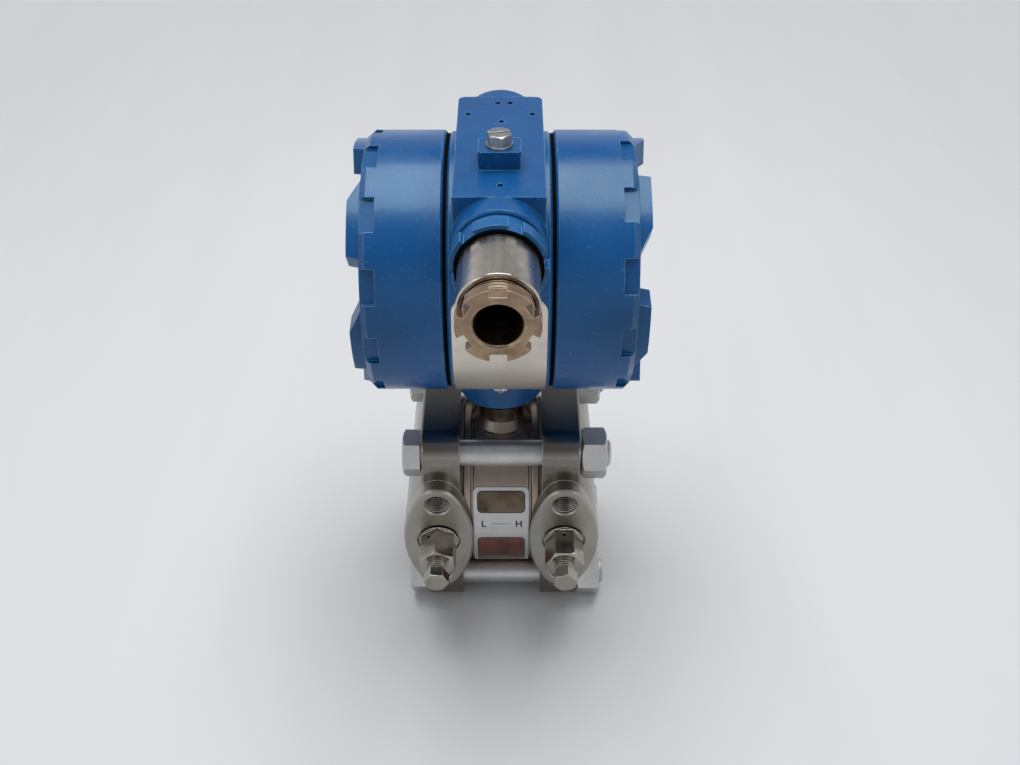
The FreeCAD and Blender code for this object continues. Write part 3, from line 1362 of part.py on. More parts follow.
def build():
    """Make every node."""
    os.makedirs("parts", exist_ok=True)
    flange = process_flange()
    bolts = [flange_bolt(y, z) for y, z in bolt_places()]
    nuts = [flange_nut(y, z) for y, z in bolt_places()]
    left_cover = cover(COVER_NOTCH_TURN_LEFT, COVER_LUG_TURN_LEFT)
    right_cover = cover(COVER_NOTCH_TURN_RIGHT, COVER_LUG_TURN_RIGHT)
    nodes = {
        "sensor_module": sensor_module(),
        "sensor_header": sensor_header(),
        "diaphragm_low": isolating_diaphragm(LEFT),
        "diaphragm_high": isolating_diaphragm(RIGHT),
        "module_label": module_label(),
        "flange_low": mirrored(flange),
        "flange_high": flange,
        "flange_seal_low": flange_seal(LEFT),
        "flange_seal_high": flange_seal(RIGHT),
        "flange_bolts": Part.makeCompound(bolts),
        "flange_nuts": Part.makeCompound(nuts),
        "drain_body_low": drain_body(-1, DRAIN_TURN_LOW, DRAIN_VENT_TURN_LOW),
        "drain_body_high": drain_body(1, DRAIN_TURN_HIGH, DRAIN_VENT_TURN_HIGH),
        "drain_ball_low": drain_ball(-1),
        "drain_ball_high": drain_ball(1),
        "drain_stem_low": drain_stem(-1, STEM_TURN_LOW),
        "drain_stem_high": drain_stem(1, STEM_TURN_HIGH),
        "electronics_housing": electronics_housing(),
        "neck_seal": neck_seal(),
        "ground_screw": ground_screw(),
        "ground_washer": ground_washer(),
        "circuit_cover": placed(left_cover, DRUM_CENTRE + LEFT * COVER_MOUTH, LEFT),
        "terminal_cover": placed(right_cover, DRUM_CENTRE + RIGHT * COVER_MOUTH, RIGHT),
        "circuit_cover_seal": cover_seal(LEFT),
        "terminal_cover_seal": cover_seal(RIGHT),
        "gland_lock_ring": gland_lock_ring(),
        "gland_body": gland_body(),
        "gland_clamp_ring": gland_clamp_ring(),
        "gland_washer": gland_washer(),
        "gland_seal": gland_seal(),
        "nameplate": nameplate(),
        "nameplate_screws": Part.makeCompound([plate_screw(a) for a in PLATE_SCREW_ANGLES]),
        "zero_screw": adjuster(ZERO_ANGLE),
        "span_screw": adjuster(SPAN_ANGLE),
        "amplifier_board": amplifier_board(),
        "calibration_board": calibration_board(),
        "board_spacers": board_spacers(),
        "board_screws": board_screws(),
        "terminal_block": terminal_block(),
        "terminal_screws": terminal_screws(),
        "terminal_clamps": terminal_clamps(),
        "feedthrough_pins": feedthrough_pins(),
        "inside_ground_screw": inside_ground_screw(),
    }
    for name, shape in nodes.items():
        save(name, shape)


build()
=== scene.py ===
"""Looks of a field differential pressure transmitter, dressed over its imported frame."""

from __future__ import annotations

import json
import logging
import math
from dataclasses import dataclass
from enum import Enum

import bmesh
import bpy
from mathutils import Matrix, Vector

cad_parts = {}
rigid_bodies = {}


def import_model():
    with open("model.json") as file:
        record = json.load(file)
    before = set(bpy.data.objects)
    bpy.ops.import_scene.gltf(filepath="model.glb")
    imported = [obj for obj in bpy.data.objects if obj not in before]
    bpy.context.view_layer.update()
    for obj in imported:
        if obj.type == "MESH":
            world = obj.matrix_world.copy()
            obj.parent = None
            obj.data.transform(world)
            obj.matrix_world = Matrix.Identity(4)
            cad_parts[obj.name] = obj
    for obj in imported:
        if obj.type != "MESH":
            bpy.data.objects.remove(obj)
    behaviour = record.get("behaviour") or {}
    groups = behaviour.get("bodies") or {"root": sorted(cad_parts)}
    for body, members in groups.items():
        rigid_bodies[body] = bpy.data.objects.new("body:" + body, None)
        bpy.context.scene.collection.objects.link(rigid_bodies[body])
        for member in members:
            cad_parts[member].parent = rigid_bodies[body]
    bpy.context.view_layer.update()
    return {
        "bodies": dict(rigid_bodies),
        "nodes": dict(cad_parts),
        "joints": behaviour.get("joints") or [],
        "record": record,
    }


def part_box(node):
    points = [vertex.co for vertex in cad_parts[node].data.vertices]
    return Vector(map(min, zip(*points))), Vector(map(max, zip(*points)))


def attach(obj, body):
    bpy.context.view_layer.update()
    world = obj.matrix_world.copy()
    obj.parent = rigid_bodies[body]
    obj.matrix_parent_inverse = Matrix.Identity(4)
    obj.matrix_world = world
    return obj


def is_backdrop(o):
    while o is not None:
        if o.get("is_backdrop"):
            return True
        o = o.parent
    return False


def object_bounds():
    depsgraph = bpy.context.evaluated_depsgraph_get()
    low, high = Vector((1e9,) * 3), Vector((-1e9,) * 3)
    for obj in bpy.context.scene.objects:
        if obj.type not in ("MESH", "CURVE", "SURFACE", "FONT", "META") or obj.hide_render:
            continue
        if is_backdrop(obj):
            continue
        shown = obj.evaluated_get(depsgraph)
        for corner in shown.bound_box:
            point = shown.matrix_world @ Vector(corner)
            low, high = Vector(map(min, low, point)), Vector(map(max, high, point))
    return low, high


LOG = logging.getLogger("transmitter")
MM = 0.001

Colour = tuple[float, float, float]
Place = tuple[float, float, float]
Socket = bpy.types.NodeSocket
Mesh = bpy.types.Mesh
Item = bpy.types.Object

BACKDROP: Colour = (0.78, 0.79, 0.81)
EDGE_SAMPLES = 6
EDGE_COSINES = (0.985, 0.9)  # between the softened and the true normal: mask 0, mask 1
EDGE_HIGHLIGHT = 0.55  # share of the way to white of the painted highlight on the edges of metal
FACE_BLUR = 0.05 * MM  # half the width of the line where polished steel turns satin
BOARD_FACE = Matrix(((0, 0, -1, 0), (-1, 0, 0, 0), (0, 1, 0, 0), (0, 0, 0, 1)))  # local +Z to -X


class Side(Enum):
    """The two pressure sides."""

    LOW = -1
    HIGH = 1


class Grain(Enum):
    """How a surface was worked: scale factors of its fine noise along X, Y and Z."""

    EVEN = (1.0, 1.0, 1.0)
    ALONG_X = (0.04, 1.0, 1.0)
    ALONG_Y = (1.0, 0.04, 1.0)
    ALONG_Z = (1.0, 1.0, 0.04)
    RINGS_X = (1.0, 0.02, 0.02)
    RINGS_Y = (0.02, 1.0, 0.02)


# ---- Node helpers ----


def dimmed(colour: Colour, share: float) -> Colour:
    """Darken a colour to a share of itself."""
    return tuple(channel * share for channel in colour)


def lightened(colour: Colour, share: float) -> Colour:
    """Move a colour by a share of the way to white."""
    return tuple(channel + (1.0 - channel) * share for channel in colour)


def plug(tree: bpy.types.NodeTree, socket: Socket, value: object) -> None:
    """Join a node's output to an input, or set the input's value.

    Args:
        tree: Tree that both are in.
        socket: The input.
        value: Another node's output, or a value.
    """
    if isinstance(value, Socket):
        tree.links.new(value, socket)
    else:
        socket.default_value = value


class Graph:
    """Adds and joins the nodes of one tree.

    Args:
        tree: The tree.
    """

    def __init__(self, tree: bpy.types.NodeTree) -> None:
        """Take the tree."""
        self.tree = tree

    def first(self, kind: str) -> bpy.types.Node:
        """First node of a kind that is there already."""
        return next(node for node in self.tree.nodes if node.type == kind)

    def add(self, kind: str, **settings: object) -> bpy.types.Node:
        """Add a node.

        Args:
            kind: Node type.
            settings: Attributes of the node, such as operation.

        Returns:
            The new node.
        """
        node = self.tree.nodes.new(kind)
        for name, value in settings.items():
            setattr(node, name, value)
        return node

    def feed(self, node: bpy.types.Node, **values: object) -> bpy.types.Node:
        """Set or join a node's inputs.

        Args:
            node: Node to feed.
            values: Input name, with _ for a space, to a value or another node's output.

        Returns:
            The same node.
        """
        for name, value in values.items():
            plug(self.tree, node.inputs[name.replace("_", " ")], value)
        return node

    def spread(
        self, value: Socket, low: float, high: float, start: float = 0.0, end: float = 1.0
    ) -> Socket:
        """Map a value from one range to another, clamped.

        Args:
            value: What is mapped.
            low: Lower end of the range it is read over.
            high: Upper end of that range.
            start: Result at the lower end.
            end: Result at the upper end.

        Returns:
            The mapped value.
        """
        node = self.add("ShaderNodeMapRange")
        self.feed(node, Value=value, From_Min=low, From_Max=high, To_Min=start, To_Max=end)
        return node.outputs["Result"]

    def maths(self, operation: str, first: object, second: object) -> Socket:
        """Join two values with an arithmetic operation.

        Args:
            operation: Name of the operation.
            first: First value or output.
            second: Second value or output.

        Returns:
            The result.
        """
        node = self.add("ShaderNodeMath", operation=operation)
        for socket, value in zip(node.inputs, (first, second)):
            plug(self.tree, socket, value)
        return node.outputs["Value"]

    def blend(self, factor: Socket, first: object, second: object) -> Socket:
        """Blend two colours.

        Args:
            factor: Share of the second.
            first: Colour or output at 0.
            second: Colour or output at 1.

        Returns:
            The blended colour.
        """
        node = self.add("ShaderNodeMix", data_type="RGBA")
        start, end = (
            value if isinstance(value, Socket) else (*value, 1.0) for value in (first, second)
        )
        self.feed(node, Factor=factor, A=start, B=end)
        return node.outputs["Result"]


class Surface(Graph):
    """Graph of a material, with its surface shader.

    Args:
        material: Material whose nodes are built.
    """

    def __init__(self, material: bpy.types.Material) -> None:
        """Find the shader, and add the sources of the place and the facing.

        Args:
            material: Material whose nodes are built.
        """
        material.use_nodes = True
        super().__init__(material.node_tree)
        self.shader = self.first("BSDF_PRINCIPLED")
        self.place = self.add("ShaderNodeTexCoord").outputs["Object"]
        self.facing = self.add("ShaderNodeNewGeometry").outputs["Normal"]

    def noise(
        self, scale: float, detail: float = 3.0, stretch: tuple[float, ...] = Grain.EVEN.value
    ) -> Socket:
        """Noise on object coordinates.

        Args:
            scale: Cycles in a metre.
            detail: Octaves.
            stretch: Scale factors along X, Y and Z.

        Returns:
            Its factor.
        """
        mapping = self.feed(self.add("ShaderNodeMapping"), Vector=self.place, Scale=stretch)
        noise = self.add("ShaderNodeTexNoise")
        self.feed(noise, Vector=mapping.outputs["Vector"], Scale=scale, Detail=detail)
        return noise.outputs["Fac"]

    def edges(self, radius: float) -> tuple[Socket, Socket]:
        """Softened edges.

        Args:
            radius: Radius of the softened edge, in metres.

        Returns:
            The softened normal, and a mask that is 1 on the edges.
        """
        bevel = self.feed(self.add("ShaderNodeBevel", samples=EDGE_SAMPLES), Radius=radius)
        dot = self.add("ShaderNodeVectorMath", operation="DOT_PRODUCT")
        self.tree.links.new(bevel.outputs["Normal"], dot.inputs[0])
        self.tree.links.new(self.facing, dot.inputs[1])
        return bevel.outputs["Normal"], self.spread(dot.outputs["Value"], *EDGE_COSINES)

    def relief(self, height: Socket, depth: float, normal: Socket) -> None:
        """Give the surface fine relief.

        Args:
            height: Pattern of the relief.
            depth: Its depth, in metres.
            normal: Normal it starts from.
        """
        bump = self.feed(self.add("ShaderNodeBump"), Height=height, Distance=depth, Normal=normal)
        self.feed(self.shader, Normal=bump.outputs["Normal"])


# ---- Finishes ----


@dataclass(frozen=True)
class Finish:
    """A finish by name.

    Args:
        name: Material name, which no slot of the record has.
        slot: Material slot of the record that it stands for; not used.
    """

    name: str
    slot: str

    def material(self) -> bpy.types.Material:
        """Build the material the first time it is asked for.

        Returns:
            The material.
        """
        found = bpy.data.materials.get(self.name)
        if found is None:
            found = bpy.data.materials.new(self.name)
            self.dress(Surface(found))
        return found

    def dress(self, graph: Surface) -> None:
        """Build the material's nodes in its graph."""
        raise NotImplementedError


@dataclass(frozen=True)
class Enamel(Finish):
    """Gloss paint on a casting, rubbed down along its edges, which also carry a painted highlight.

    Args:
        colour: Full coat.
        deep: Thicker, darker coat.
        thin_coat_and_highlight: Colour of the dust specks and of the edges, where it is both
            rubbed-down coat and painted highlight.
        roughness: Mean roughness.
        edge: Radius of the softened edges, in metres.
        sheen: Tint of its reflections.
        patches: Scale of the change from full to deep coat, in cycles a metre.
        stretches: Scale of the stretches of the edges that are rubbed down and carry the painted
            highlight.
        specks: Scale of the dust.
        peel: Scale of the orange peel.
        peel_depth: Depth of the orange peel, in metres.
    """

    colour: Colour
    deep: Colour
    thin_coat_and_highlight: Colour
    roughness: float = 0.3
    edge: float = 0.5 * MM
    sheen: Colour = (0.75, 1.0, 0.85)
    patches: float = 22.0
    stretches: float = 140.0
    specks: float = 900.0
    peel: float = 420.0
    peel_depth: float = 0.06 * MM

    def dress(self, graph: Surface) -> None:
        """Coat that varies slowly, with orange peel, and edges rubbed down and lightened by a
        painted highlight.

        Args:
            graph: Graph of the material.
        """
        normal, mask = graph.edges(self.edge)
        deep = graph.spread(graph.noise(self.patches), 0.35, 0.65)
        coat = graph.blend(deep, self.colour, self.deep)
        wear = graph.spread(graph.noise(self.stretches), 0.38, 0.55, 0.35, 1.0)
        rubbed_and_highlit = graph.maths("MULTIPLY", mask, wear)
        dust = graph.spread(graph.noise(self.specks, 2.0), 0.66, 0.74, 0.0, 0.25)
        coat = graph.blend(dust, coat, self.thin_coat_and_highlight)
        # Edges lightened in stretches: rubbed-down coat and a painted highlight in one.
        colour = graph.blend(rubbed_and_highlit, coat, self.thin_coat_and_highlight)
        smooth, dull = self.roughness - 0.06, self.roughness + 0.1
        rough = graph.spread(graph.noise(60.0), 0.3, 0.7, smooth, dull)
        graph.feed(graph.shader, Base_Color=colour, Roughness=rough, Coat_Weight=0.1)
        graph.feed(graph.shader, Coat_Roughness=0.12, Specular_IOR_Level=0.4)
        graph.feed(graph.shader, Specular_Tint=(*self.sheen, 1.0))
        graph.relief(graph.noise(self.peel, 2.0), self.peel_depth, normal)


@dataclass(frozen=True)
class Metal(Finish):
    """Bare or plated metal.

    Args:
        colour: Clean metal.
        shade: Stained or dusty metal.
        roughness: Mean roughness.
        grain: How the surface was worked.
        cross: Second direction of work, across the first.
        mottle: Scale of the stains, in cycles a metre.
        fine: Scale of the grain, in cycles a metre.
        depth: Depth of the grain, in metres.
        stain: Share of the surface that the shade covers.
        edge_highlight: Strength of the painted highlight on the edges.
        edge: Radius of the softened edges, in metres.
    """

    colour: Colour
    shade: Colour
    roughness: float
    grain: Grain = Grain.EVEN
    cross: Grain | None = None
    mottle: float = 45.0
    fine: float = 700.0
    depth: float = 0.006 * MM
    stain: float = 0.5
    edge_highlight: float = 0.5
    edge: float = 0.35 * MM

    def dress(self, graph: Surface) -> None:
        """Stained metal with a directional grain, and edges lightened as a painted highlight.

        Args:
            graph: Graph of the material.
        """
        normal, mask = graph.edges(self.edge)
        middle = 1.0 - self.stain
        stains = graph.spread(graph.noise(self.mottle, 5.0), middle - 0.12, middle + 0.18)
        grain = graph.noise(self.fine, 3.0, self.grain.value)
        if self.cross is not None:
            across = graph.noise(self.fine * 0.8, 3.0, self.cross.value)
            grain = graph.maths("MULTIPLY", graph.maths("ADD", grain, across), 0.5)
        streak = graph.maths("MULTIPLY", stains, graph.spread(grain, 0.3, 0.7, 0.6, 1.0))
        colour = graph.blend(streak, self.colour, self.shade)
        # Painted highlight: the edges are lightened towards white.
        light = lightened(self.colour, EDGE_HIGHLIGHT)
        colour = graph.blend(graph.maths("MULTIPLY", mask, self.edge_highlight), colour, light)
        base = graph.spread(grain, 0.3, 0.7, self.roughness - 0.05, self.roughness + 0.07)
        rough = graph.maths("ADD", base, graph.maths("MULTIPLY", stains, 0.08))
        graph.feed(graph.shader, Base_Color=colour, Roughness=rough, Metallic=1.0)
        graph.relief(grain, self.depth, normal)


@dataclass(frozen=True)
class PortSteel(Metal):
    """Polished steel whose machined port faces are satin.

    Args:
        satin: Colour of the port faces.
        satin_roughness: Their roughness.
        faces: Places of the rear and front edge of the polished part along Y, in metres.
    """

    satin: Colour = (0.5, 0.5, 0.5)
    satin_roughness: float = 0.36
    faces: tuple[float, float] = (0.0, 0.0)

    def dress(self, graph: Surface) -> None:
        """Polished metal, with satin beyond the two edges.

        Args:
            graph: Graph of the material.
        """
        super().dress(graph)
        split = graph.feed(graph.add("ShaderNodeSeparateXYZ"), Vector=graph.place)
        across = split.outputs["Y"]
        rear, front = self.faces
        ahead = graph.spread(across, front + FACE_BLUR, front - FACE_BLUR)
        behind = graph.spread(across, rear - FACE_BLUR, rear + FACE_BLUR)
        mask = graph.maths("MAXIMUM", ahead, behind)
        shader = graph.shader.inputs
        polish, gloss = (shader[name].links[0].from_socket for name in ("Base Color", "Roughness"))
        dust = graph.spread(graph.noise(120.0, 4.0), 0.35, 0.7, 0.0, 0.6)
        satin = graph.blend(dust, self.satin, dimmed(self.satin, 0.8))
        colour = graph.blend(mask, polish, satin)
        change = graph.maths("SUBTRACT", self.satin_roughness, gloss)
        rough = graph.maths("ADD", gloss, graph.maths("MULTIPLY", change, mask))
        graph.feed(graph.shader, Base_Color=colour, Roughness=rough)


@dataclass(frozen=True)
class Moulded(Finish):
    """Rubber, moulded plastic or a lacquered board.

    Args:
        colour: Clean surface.
        dusty: Dusty or scuffed surface.
        roughness: Mean roughness.
        speck: Scale of the dust, in cycles a metre.
        depth: Depth of the relief, in metres.
        gloss: Level of its reflections.
        edge: Radius of the softened edges, in metres.
    """

    colour: Colour
    dusty: Colour
    roughness: float
    speck: float = 260.0
    depth: float = 0.03 * MM
    gloss: float = 0.5
    edge: float = 0.25 * MM

    def dress(self, graph: Surface) -> None:
        """Moulded surface with dust in its texture.

        Args:
            graph: Graph of the material.
        """
        normal, mask = graph.edges(self.edge)
        dust = graph.spread(graph.noise(self.speck, 4.0), 0.5, 0.75, 0.0, 0.7)
        colour = graph.blend(graph.maths("MAXIMUM", dust, mask), self.colour, self.dusty)
        smooth, dull = self.roughness - 0.08, self.roughness + 0.08
        rough = graph.spread(graph.noise(70.0), 0.3, 0.7, smooth, dull)
        graph.feed(graph.shader, Base_Color=colour, Roughness=rough, Specular_IOR_Level=self.gloss)
        graph.relief(graph.noise(self.speck * 3.0, 2.0), self.depth, normal)


@dataclass(frozen=True)
class Floor(Finish):
    """Pale table top that melts into the backdrop far away.

    Args:
        colour: Its colour.
        far: Colour of the backdrop.
        fade: Distances from the object over which one goes to the other, in metres.
    """

    colour: Colour
    far: Colour
    fade: tuple[float, float]

    def dress(self, graph: Surface) -> None:
        """Almost even surface with a faint long weave, alight by itself far away.

        Args:
            graph: Graph of the material.
        """
        weave = graph.spread(graph.noise(30.0, 2.0, (1.0, 0.05, 1.0)), 0.3, 0.7)
        distance = graph.add("ShaderNodeVectorMath", operation="LENGTH")
        graph.tree.links.new(graph.place, distance.inputs[0])
        away = graph.spread(distance.outputs["Value"], *self.fade)
        near = graph.blend(weave, self.colour, dimmed(self.colour, 0.97))
        colour = graph.blend(away, near, (0.0, 0.0, 0.0))
        shine = graph.spread(distance.outputs["Value"], *self.fade, 0.3, 0.0)
        graph.feed(graph.shader, Base_Color=colour, Roughness=0.6, Specular_IOR_Level=shine)
        graph.feed(graph.shader, Emission_Color=(*self.far, 1.0), Emission_Strength=away)


PAINT = Enamel(
    "blue_enamel", "blue_paint", (0.003, 0.078, 0.262), (0.002, 0.058, 0.2), (0.12, 0.35, 0.6)
)
LOCK_PAINT = Enamel(
    "ring_enamel",
    "blue_paint",
    (0.006, 0.1, 0.3),
    (0.004, 0.07, 0.225),
    (0.16, 0.4, 0.62),
    0.35,
)
FLANGE_STEEL = PortSteel(
    "flange_steel",
    "stainless",
    (0.25, 0.23, 0.205),
    (0.15, 0.135, 0.12),
    0.17,
    Grain.ALONG_X,
    Grain.ALONG_Z,
    mottle=28.0,
    edge_highlight=1.0,
    satin=(0.4, 0.375, 0.335),
    faces=(-6.3 * MM, -74.7 * MM),
)
VALVE_STEEL = Metal(
    "valve_steel",
    "stainless",
    (0.38, 0.35, 0.305),
    (0.22, 0.2, 0.17),
    0.18,
    Grain.RINGS_Y,
    mottle=90.0,
    edge_highlight=1.0,
    edge=0.45 * MM,
)
THREAD_STEEL = Metal(
    "thread_steel",
    "stainless",
    (0.58, 0.55, 0.5),
    (0.36, 0.33, 0.29),
    0.26,
    mottle=150.0,
    edge_highlight=0.8,
)
DRUM_STEEL = Metal(
    "drum_steel",
    "module_steel",
    (0.4, 0.325, 0.27),
    (0.3, 0.24, 0.195),
    0.3,
    Grain.RINGS_X,
    depth=0.003 * MM,
    stain=0.4,
    edge_highlight=1.0,
)
BOLT_ZINC = Metal(
    "bolt_zinc",
    "zinc_steel",
    (0.6, 0.6, 0.59),
    (0.47, 0.475, 0.475),
    0.42,
    depth=0.01 * MM,
    edge_highlight=0.3,
)
SMALL_ZINC = Metal(
    "small_zinc", "zinc_steel", (0.42, 0.43, 0.43), (0.25, 0.26, 0.26), 0.3, mottle=200.0
)
GLAND_NICKEL = Metal(
    "gland_nickel",
    "nickel",
    (0.56, 0.51, 0.455),
    (0.22, 0.19, 0.16),
    0.24,
    Grain.ALONG_Y,
    mottle=110.0,
    fine=420.0,
    stain=0.42,
)
CLAMP_BRONZE = Metal(
    "clamp_bronze",
    "bronze",
    (0.38, 0.265, 0.175),
    (0.2, 0.135, 0.09),
    0.3,
    mottle=160.0,
    edge_highlight=1.0,
)
PLATE_STEEL = Metal(
    "satin_plate",
    "plate_steel",
    (0.72, 0.665, 0.59),
    (0.61, 0.56, 0.495),
    0.36,
    Grain.ALONG_X,
    mottle=60.0,
)
BRASS = Metal("plain_brass", "brass", (0.62, 0.44, 0.18), (0.42, 0.29, 0.12), 0.3, mottle=150.0)
HEADER = Metal("header_steel", "glass_header", (0.4, 0.41, 0.42), (0.22, 0.23, 0.25), 0.3)
FOIL = Metal(
    "label_foil",
    "label_silver",
    (0.6, 0.6, 0.595),
    (0.52, 0.52, 0.515),
    0.42,
    Grain.ALONG_X,
    edge_highlight=0.1,
)
FOIL_BROWN = Metal(
    "label_brown",
    "label_silver",
    (0.155, 0.12, 0.085),
    (0.045, 0.032, 0.024),
    0.34,
    Grain.ALONG_Z,
    mottle=110.0,
)
FOIL_RED = Metal(
    "label_red",
    "label_silver",
    (0.23, 0.095, 0.075),
    (0.05, 0.035, 0.03),
    0.3,
    Grain.ALONG_X,
    mottle=120.0,
    fine=300.0,
    stain=0.45,
)
INK = Moulded("label_ink", "label_silver", (0.012, 0.012, 0.014), (0.03, 0.03, 0.03), 0.5)
RUBBER = Moulded(
    "seal_rubber", "black_rubber", (0.002, 0.002, 0.0025), (0.005, 0.005, 0.006), 0.8, gloss=0.03
)
WHITE_SEAL = Moulded("white_seal", "seal_white", (0.72, 0.71, 0.67), (0.6, 0.58, 0.52), 0.5)
BOARD = Moulded(
    "board_lacquer", "board_green", (0.012, 0.11, 0.045), (0.04, 0.2, 0.09), 0.35, 500.0
)
BLOCK = Moulded("block_moulding", "block_black", (0.014, 0.014, 0.014), (0.05, 0.05, 0.05), 0.4)
FLOOR = Floor("pale_floor", "", (0.68, 0.695, 0.72), BACKDROP, (0.45, 1.5))


# ---- Mesh helpers ----


def toward(axis: Vector, place: Vector) -> Matrix:
    """Matrix that turns local +Z to an axis and moves the origin to a place."""
    return Matrix.Translation(place) @ axis.to_track_quat("Z", "Y").to_matrix().to_4x4()


def shown(name: str, data: bpy.types.ID) -> Item:
    """Put data in the scene as an object at the origin.

    Args:
        name: Name of the object.
        data: Its mesh, lamp or camera.

    Returns:
        The object.
    """
    item = bpy.data.objects.new(name, data)
    bpy.context.scene.collection.objects.link(item)
    return item


def joined(name: str, meshes: list[Mesh], finish: Finish, body: str) -> None:
    """Join meshes to one piece of a body.

    Args:
        name: Name of the piece.
        meshes: Meshes in their places.
        finish: Their finish.
        body: Body the piece rides on.
    """
    whole = bmesh.new()
    for mesh in meshes:
        whole.from_mesh(mesh)
        bpy.data.meshes.remove(mesh)
    result = bpy.data.meshes.new(name)
    whole.to_mesh(result)
    whole.free()
    piece = shown(name, result)
    piece.data.materials.append(finish.material())
    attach(piece, body)
    LOG.info("%s: %d faces on %s", name, len(result.polygons), body)


def closed(name: str, shape: bmesh.types.BMesh, gap: float) -> Mesh:
    """Close a shape's seams and turn its faces outwards.

    Args:
        name: Name of the mesh.
        shape: Shape, which is freed.
        gap: Distance within which corners become one, in metres.

    Returns:
        The shape as a mesh.
    """
    bmesh.ops.remove_doubles(shape, verts=shape.verts, dist=gap)
    bmesh.ops.recalc_face_normals(shape, faces=shape.faces)
    mesh = bpy.data.meshes.new(name)
    shape.to_mesh(mesh)
    shape.free()
    return mesh


def lathe(profile: list[tuple[float, float]], steps: int = 64) -> Mesh:
    """Turn a closed profile about local +Z.

    Args:
        profile: (radius, height) corners in metres, in order round the outline.
        steps: Divisions round the axis.

    Returns:
        The turned mesh, with its faces outwards.
    """
    turned = bmesh.new()
    rows = []
    for step in range(steps):
        angle = math.tau * step / steps
        spin = Vector((math.cos(angle), math.sin(angle), 0.0))
        places = (spin * radius + Vector((0, 0, height)) for radius, height in profile)
        rows.append([turned.verts.new(place) for place in places])
    for row, following in zip(rows, rows[1:] + rows[:1]):
        for i in range(len(profile)):
            j = (i + 1) % len(profile)
            turned.faces.new((row[i], following[i], following[j], row[j]))
    return closed("lathe", turned, 1e-7)


def wrapped(flat: Mesh, radius: float, axis_point: Vector) -> Mesh:
    """Wrap a flat mesh on the front of a drum whose axis is X.

    Args:
        flat: Mesh with X across, Y as the arc length upwards from the level front, Z outwards.
        radius: Drum radius, in metres.
        axis_point: Point on the drum's axis.

    Returns:
        The same mesh, wrapped.
    """
    for vertex in flat.vertices:
        across, arc, out = vertex.co
        reach = radius + out
        angle = arc / radius
        place = Vector((across, -reach * math.cos(angle), reach * math.sin(angle)))
        vertex.co = axis_point + place
    return flat


def tablet(
    half_width: float, half_height: float, corner: float, thickness: float, rise: float
) -> Mesh:
    """Thin flat plate with rounded corners, split in strips so that it can be wrapped.

    Args:
        half_width: Half its width, in metres.
        half_height: Half its height.
        corner: Corner radius.
        thickness: Its thickness.
        rise: Height of its middle along Y.

    Returns:
        The flat mesh, its back at Z 0.
    """
    corner_steps, side_steps = 6, 12
    low = []
    for i in range(corner_steps + 1):
        angle = math.pi / 2 * i / corner_steps
        inset = corner * (1 - math.sin(angle))
        low.append((-half_height + corner * (1 - math.cos(angle)), inset))
    start, run = -half_height + corner, (half_height - corner) * 2
    middle = [(start + run * i / side_steps, 0.0) for i in range(1, side_steps)]
    rows = low + middle + [(-height, inset) for height, inset in reversed(low)]
    plate = bmesh.new()
    fronts, backs = [], []
    for height, inset in rows:
        for layer, z in ((fronts, thickness), (backs, 0.0)):
            ends = (-half_width + inset, half_width - inset)
            layer.append([plate.verts.new((x, rise + height, z)) for x in ends])
    for i in range(len(rows) - 1):
        first, second = fronts[i], fronts[i + 1]
        under, over = backs[i], backs[i + 1]
        plate.faces.new((first[0], first[1], second[1], second[0]))
        plate.faces.new((under[1], under[0], over[0], over[1]))
        plate.faces.new((under[0], first[0], second[0], over[0]))
        plate.faces.new((first[1], under[1], over[1], second[1]))
    plate.faces.new((fronts[0][0], backs[0][0], backs[0][1], fronts[0][1]))
    plate.faces.new((fronts[-1][1], backs[-1][1], backs[-1][0], fronts[-1][0]))
    return closed("tablet", plate, 1e-8)


# ---- Geometry Nodes ----


class Tree(Graph):
    """Geometry Nodes group with named inputs, turned into plain meshes.

    Args:
        name: Group name.
        inputs: Input name, with _ for a space, to its default.
    """

    kinds = {
        float: "NodeSocketFloat",
        int: "NodeSocketInt",
        tuple: "NodeSocketVector",
        type(None): "NodeSocketMaterial",
    }

    def __init__(self, name: str, **inputs: float | int | Place) -> None:
        """Make the group and its sockets, with one more input for the finish.

        Args:
            name: Name of the group.
            inputs: Names and defaults of its inputs.
        """
        super().__init__(bpy.data.node_groups.new(name, "GeometryNodeTree"))
        self.names: dict[str, str] = {}
        face = self.tree.interface
        for label, default in {**inputs, "Finish": None}.items():
            kind = self.kinds[type(default)]
            socket = face.new_socket(label.replace("_", " "), in_out="INPUT", socket_type=kind)
            socket.default_value = default
            self.names[label] = socket.identifier
        face.new_socket("Geometry", in_out="OUTPUT", socket_type="NodeSocketGeometry")
        self.given = self.add("NodeGroupInput").outputs

    def close(self, geometry: Socket) -> None:
        """End the group in Realize Instances and Set Material.

        Args:
            geometry: What the group has made.
        """
        real = self.feed(self.add("GeometryNodeRealizeInstances"), Geometry=geometry)
        dressed = self.feed(
            self.add("GeometryNodeSetMaterial"),
            Geometry=real.outputs["Geometry"],
            Material=self.given["Finish"],
        )
        self.feed(self.add("NodeGroupOutput"), Geometry=dressed.outputs["Geometry"])

    def mesh(self, finish: Finish, **values: object) -> Mesh:
        """Run the group.

        Args:
            finish: Finish of what it makes.
            values: Input name, with _ for a space, to its value.

        Returns:
            A plain mesh at the origin.
        """
        holder = shown("holder", bpy.data.meshes.new("holder"))
        modifier = holder.modifiers.new("run", "NODES")
        modifier.node_group = self.tree
        for name, value in values.items():
            modifier[self.names[name]] = value
        modifier[self.names["Finish"]] = finish.material()
        graph = bpy.context.evaluated_depsgraph_get()
        mesh = bpy.data.meshes.new_from_object(holder.evaluated_get(graph))
        holder.modifiers.remove(modifier)
        bpy.data.objects.remove(holder)
        return mesh


